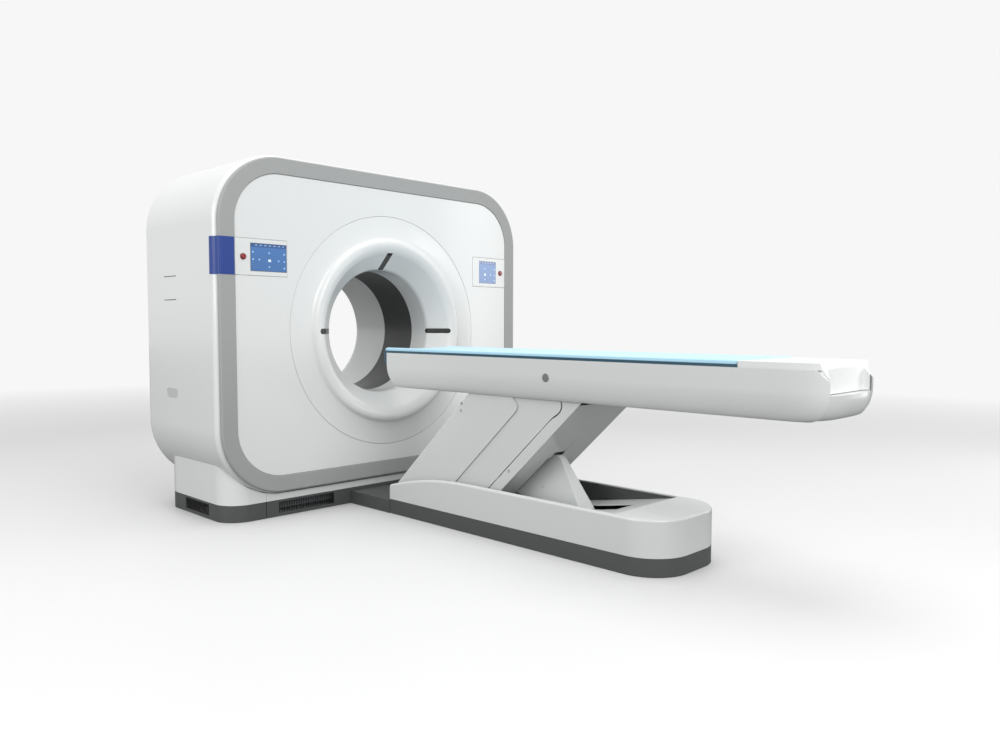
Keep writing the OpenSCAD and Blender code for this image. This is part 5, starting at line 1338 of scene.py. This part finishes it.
class BuildTableTop(bpy.types.Operator):
    """Makes the side covers, the foot bumper, the release button, the cradle and its foot piece"""
    bl_idname = "ct.build_table_top"
    bl_label = "Table top"

    def execute(self, context):
        t = table()
        inner, side, under = TROUGH[1].x - t.wall, TROUGH[0].x, LOW - 1 * MM
        trough = trough_solid("table_side_walls", 0.0)
        button = circle(at(1.433), 0.794, 0.0193, 32)(0.0)
        cutters = [trough_solid("inside", t.wall),
                   block("foot_end", (-0.200, at(2.80), under), (0.200, at(2.59), 0.889)),
                   prism("above", foot_plan(inner, t.foot_reach - t.wall, 0.2), "Z", TOP - 6 * MM, 1.0),
                   block("arm_opening", (-0.219, at(1.650), under), (0.219, at(0.700), 0.709)),
                   prism("button_hole", button, "X", side - 0.01, side + 0.01)]
        combined(trough, cutters)
        softened(trough, 0.9 * MM, 35)
        finished(trough, "cover_grey", "table", ["table_side_cover"], 40)
        self.bumper()
        self.frame()
        dressed("release_button", 0.6 * MM, look="button_grey")
        self.cradle()
        self.foot_piece()
        return {"FINISHED"}

    def frame(self):
        """The table's frame, its outer corners trimmed to the room inside the covers."""
        piece = dressed("table_frame", 0.0)
        room = trough_solid("room", table().wall + 0.6 * MM)
        outside = block("outside", (-0.4, at(2.9), LOW), (0.4, at(0.2), TOP - 10 * MM))
        combined(outside, [room])
        combined(piece, [outside])
        softened(piece, 0.8 * MM, 40, 1)
        finished(piece, slot_of("table_frame"), "table", ["table_frame"])

    def bumper(self):
        """Rounded bumper between the side covers at the table's foot end."""
        shell = trough_body("foot_bumper_shell", 5 * MM, 0.193, 4)
        combined(shell, [block("reach", (-0.3, at(2.8), 0.6), (0.3, at(2.580), 0.786))], "INTERSECT")
        softened(shell, 2.0 * MM, 40, 3)
        finished(shell, "cover_grey", "table", ["foot_bumper"], 40)

    def cradle(self):
        """Curved composite shell with runners below, a rim round the mattress and a plain tail in the foot piece."""
        t = table()
        half, head, foot = CRADLE[1].x, 0.2505, 2.528
        edge, radius, centre = cradle_arc()
        runner, rim, lip, tail, runner_width = CRADLE[0].z, edge + t.rim_over, 1.8 * MM, 2.357, 0.017
        spread = [k / 24 for k in range(-24, 25)]

        def arch(x, r):
            return centre - math.sqrt(r * r - x * x)

        stations = [(head + t.tip * (1 - math.cos(math.radians(a))), 0.0, rim) for a in range(0, 91, 9)]
        stations += [(1.3, 0.0, rim), (tail, 0.0, rim)]
        stations += [(d, 9 * MM, edge + 1 * MM) for d in (tail + 1 * MM, foot)]
        sections = []
        for d, narrower, rim in stations:
            w = half - narrower - tip_narrowing(d, head)
            upper = [((w - lip) * s, arch((w - lip) * s, radius)) for s in spread]
            inner = w - runner_width - 1 * MM
            lower = [(inner * s, arch(inner * s, radius + t.shell)) for s in reversed(spread)]
            low = min(runner, arch(inner, radius + t.shell))
            side = [(w - lip, rim - 0.5 * MM), (w - lip / 2, rim), (w, rim - 0.5 * MM), (w, low),
                    (w - runner_width, low)]
            ring = upper + side + lower + [(-x, z) for x, z in reversed(side)]
            sections.append([(x, at(d), z) for x, z in ring])
        finished(loft("cradle_shell", sections, ring=False), "cradle_teal", "cradle", ["cradle"], 40)

    def foot_piece(self):
        """White moulded foot piece of the cradle: top plate, side skirts and cheeks round the pull recess."""
        half, top, tail, reach = FOOT_PIECE[1].x, 0.900, 2.358, 0.220
        side = [(at(d), z) for d, z in ((tail, 0.788), (2.684, 0.788), (2.684, 0.836), (2.662, 0.872), (2.655, top),
                                        (tail, top))]
        body = prism("cradle_foot_piece", side, "X", -0.3, 0.3)
        lower = prism("lower", foot_plan(half - 9 * MM, table().foot_reach - 9 * MM, 2.3), "Z", 0.6, TOP - 0.5 * MM)
        combined(lower, [prism("upper", foot_plan(half, reach, tail - 0.1), "Z", TOP - 1 * MM, 1.0)], "UNION")
        combined(body, [lower], "INTERSECT")
        corner, back, wide, beyond = 0.022, 2.661, 0.185, 2.8
        recess = ([(-wide, beyond), (-wide, back + corner)]
                  + arc(-wide + corner, back + corner, corner, 180, 270, 8)
                  + arc(wide - corner, back + corner, corner, 270, 360, 8) + [(wide, beyond)])
        recess = [(x, at(d)) for x, d in recess]
        cutters = [block("under", (-0.25, at(2.592), 0.5), (0.25, at(2.2), TOP - 1 * MM)),
                   block("hollow", (-0.2350, at(2.530), 0.5), (0.2350, at(2.2), top - 4 * MM)),
                   block("hollow", (-0.1960, at(back - 0.010), 0.5), (0.1960, at(2.2), top - 4 * MM)),
                   prism("recess", recess, "Z", 0.6, 1.2)]
        combined(body, cutters)
        softened(body, 2.2 * MM, 40, 3)
        finished(body, slot_of("cradle_end_cover"), "cradle", ["cradle_end_cover"], 40)


# Mattress

class BuildMattress(bpy.types.Operator):
    """Makes the thin wipe-clean mattress, puffed by a short cloth simulation"""
    bl_idname = "ct.build_mattress"
    bl_label = "Mattress"

    def execute(self, context):
        half, head, foot = CRADLE[1].x - 2.4 * MM, 0.2525, 2.3555
        edge, radius, centre = cradle_arc()
        top, lift, crown = mattress_top() - 2.5 * MM, 0.4 * MM, 10 * MM
        across, along = 44, 180
        vertices, faces = [], []
        for side in (0, 1):
            for j in range(along + 1):
                d = head + (foot - head) * j / along
                w = half - tip_narrowing(d, head)
                for k in range(across + 1):
                    x = w * (2 * k / across - 1)
                    under = centre - math.sqrt(radius ** 2 - x * x) + lift
                    vertices.append((x, at(d), top - crown * (1 - (x / half) ** 2) if side else under))
        row, sheet = across + 1, (across + 1) * (along + 1)
        for j in range(along):
            for k in range(across):
                a = j * row + k
                faces.append((a, a + 1, a + row + 1, a + row))
                faces.append((sheet + a, sheet + a + row, sheet + a + row + 1, sheet + a + 1))
        rim = ([*range(across)] + [across + j * row for j in range(along)]
               + [along * row + k for k in range(across, 0, -1)] + [j * row for j in range(along, 0, -1)])
        for a, b in zip(rim, rim[1:] + rim[:1]):
            faces.append((a, sheet + a, sheet + b, b))
        pad = mesh_piece("mattress_pad", vertices, faces)
        rest = [v.co.copy() for v in pad.data.vertices]
        self.puff(pad, rest, centre, radius)
        rounding = pad.modifiers.new("rounding", "BEVEL")
        rounding.width, rounding.segments, rounding.angle_limit = 4.0 * MM, 3, math.radians(50)
        baked(pad)
        finer = pad.modifiers.new("finer", "SUBSURF")
        finer.levels = finer.render_levels = 1
        baked(pad)
        finished(pad, "mattress_blue", "cradle", ["mattress"], 60)
        return {"FINISHED"}

    def puff(self, pad, rest, centre, radius):
        """Puffs the cover a little over its fixed underside in 20 frames of cloth and caps how far it moves."""
        held = pad.vertex_groups.new(name="held")
        under = [k for k, p in enumerate(rest) if math.hypot(p.x, centre - p.z) > radius - 2 * MM]
        held.add(under, 1.0, "REPLACE")
        fabric = pad.modifiers.new("cloth", "CLOTH").settings
        fabric.quality, fabric.mass, fabric.bending_stiffness = 5, 0.3, 1.5
        fabric.tension_stiffness = fabric.compression_stiffness = 12
        fabric.use_pressure, fabric.uniform_pressure_force = True, 4.0
        fabric.vertex_group_mass, fabric.effector_weights.gravity = "held", 0.0
        scene, limit = bpy.context.scene, 3.0 * MM
        for step in range(1, 21):
            scene.frame_set(step)
        baked(pad)
        scene.frame_set(1)
        for vertex, place in zip(pad.data.vertices, rest):
            move = vertex.co - place
            move.x, move.y = move.x * 0.2, move.y * 0.2
            if move.length > limit:
                move = move.normalized() * limit
            vertex.co = place + move


# Inner works and the nodes that keep their own shape

class PaintFrame(bpy.types.Operator):
    """Gives every node that still shows its finish"""
    bl_idname = "ct.paint_frame"
    bl_label = "Inner works"

    def execute(self, context):
        # A node that a piece replaces stays hidden, so it needs no more than its slot's finish
        for name, node in frame["nodes"].items():
            painted(node.data, FINISHES[slot_of(name)])
        return {"FINISHED"}


# Stage

class BuildStage(bpy.types.Operator):
    """Sets the floor, the studio light and the camera at the photograph's angle"""
    bl_idname = "ct.build_stage"
    bl_label = "Stage"

    white = 0.93

    def execute(self, context):
        self.camera()
        self.floor()
        self.world()
        self.softbox("key", (-1.2, -7.0, 3.6), (0.0, -0.6, 1.0), (4.0, 2.6), 165)
        self.softbox("top", (0.3, -1.2, 5.2), (0.0, -1.2, 0.0), (5.0, 4.0), 88)
        self.softbox("left", (-6.5, -0.6, 2.6), (-1.0, -0.3, 1.0), (3.0, 3.0), 125)
        self.softbox("streak", (4.4, -4.2, 1.6), (0.6, -0.4, 1.1), (0.7, 3.2), 26)
        bpy.context.scene.view_settings.view_transform = "Standard"
        return {"FINISHED"}

    def camera(self):
        """Camera whose place, angles and lens were recovered from the photograph's perspective."""
        data = bpy.data.cameras.new("photo_camera")
        data.lens, data.sensor_width = 29.31, 36.0
        camera = linked("photo_camera", data)
        yaw, pitch, roll = 0.79848, -0.06195, 0.00259
        ahead = Vector((math.sin(yaw) * math.cos(pitch), math.cos(yaw) * math.cos(pitch), math.sin(pitch)))
        right = Vector((math.cos(yaw), -math.sin(yaw), 0))
        up = right.cross(ahead)
        turned_right = right * math.cos(roll) + up * math.sin(roll)
        turned_up = up * math.cos(roll) - right * math.sin(roll)
        pose = Matrix((turned_right, turned_up, -ahead)).transposed().to_4x4()
        pose.translation = (-2.9911, -4.1969, 1.031)
        camera.matrix_world = pose
        bpy.context.scene.camera = camera

    def floor(self):
        """Pale floor that keeps the shadow, throws little light back up and fades into the background's white."""
        size, fade_from, fade_over = 30.0, 4.0, 6.0
        mesh = bpy.data.meshes.new("studio_floor")
        mesh.from_pydata([(-size, -size, 0), (size, -size, 0), (size, size, 0), (-size, size, 0)], [], [(0, 1, 2, 3)])
        ground = linked("studio_floor", mesh)
        f = Finish("studio_floor")
        pale = f.node("ShaderNodeBsdfPrincipled", {}, {
            "Base Color": f.shade(srgb(232, 232, 232), f.noise(0.8, 2.0), 0.02), "Roughness": 0.55})
        bounce = f.node("ShaderNodeBsdfDiffuse", {}, {"Color": srgb(128, 128, 128)})
        x, y, z = f.axes()
        far = (((x * x + y * y) ** 0.5 - fade_from) / fade_over).math("MAXIMUM", 0.0).math("MINIMUM", 1.0)
        seen = f.node("ShaderNodeLightPath", output="Is Camera Ray")
        white = f.node("ShaderNodeEmission", {}, {"Color": (1, 1, 1), "Strength": self.white})
        near = f.node("ShaderNodeMixShader", {}, {0: seen, 1: bounce, 2: pale})
        ground.data.materials.append(f.end(f.node("ShaderNodeMixShader", {}, {0: far * seen, 1: near, 2: white})))

    def world(self):
        """Even light on the object; the camera, gloss and glass see a plain pale white."""
        world = bpy.data.worlds.new("studio")
        bpy.context.scene.world = world
        f = Finish(world, "ShaderNodeOutputWorld")
        camera = f.node("ShaderNodeLightPath", output="Is Camera Ray")
        seen = camera.math("MAXIMUM", camera.beside("Is Glossy Ray"))
        seen = seen.math("MAXIMUM", camera.beside("Is Transmission Ray"))
        light, white = (f.node("ShaderNodeBackground", {}, {"Color": (1, 1, 1), "Strength": strength})
                        for strength in (0.66, self.white))
        f.end(f.node("ShaderNodeMixShader", {}, {0: seen, 1: light, 2: white}))

    def softbox(self, name, place, goal, size, power):
        data = bpy.data.lights.new(name, "AREA")
        data.shape, data.size, data.size_y, data.energy = "RECTANGLE", *size, power
        aim = (Vector(goal) - Vector(place)).to_track_quat("-Z", "Y").to_matrix().to_4x4()
        linked(name, data).matrix_world = Matrix.Translation(place) @ aim


class ScannerPanel(bpy.types.Panel):
    """Lists the steps that build the scanner"""
    bl_idname = "VIEW3D_PT_ct_scanner"
    bl_label = "CT Scanner"
    bl_space_type = "VIEW_3D"
    bl_region_type = "UI"
    bl_category = "CT Scanner"

    def draw(self, context):
        for step in STEPS:
            self.layout.operator(step.bl_idname)
        for group in (context.scene.ct_gantry, context.scene.ct_table, context.scene.ct_colours):
            box = self.layout.box()
            for name in group.__annotations__:
                box.prop(group, name)


STEPS = (BuildStage, PaintFrame, BuildShell, BuildFront, BuildBore, BuildControls, BuildPlinth, BuildTableBase,
         BuildLift, BuildTableTop, BuildMattress)
CLASSES = (GantrySizes, TableSizes, FinishColours, *STEPS, ScannerPanel)


def register():
    for kind in CLASSES:
        bpy.utils.register_class(kind)
    bpy.types.Scene.ct_gantry = PointerProperty(type=GantrySizes)
    bpy.types.Scene.ct_table = PointerProperty(type=TableSizes)
    bpy.types.Scene.ct_colours = PointerProperty(type=FinishColours)


def unregister():
    del bpy.types.Scene.ct_gantry, bpy.types.Scene.ct_table, bpy.types.Scene.ct_colours
    for kind in reversed(CLASSES):
        bpy.utils.unregister_class(kind)


def main():
    register()
    make_finishes()
    for step in STEPS:
        group, name = step.bl_idname.split(".")
        getattr(getattr(bpy.ops, group), name)()


if __name__ == "__main__":
    main()
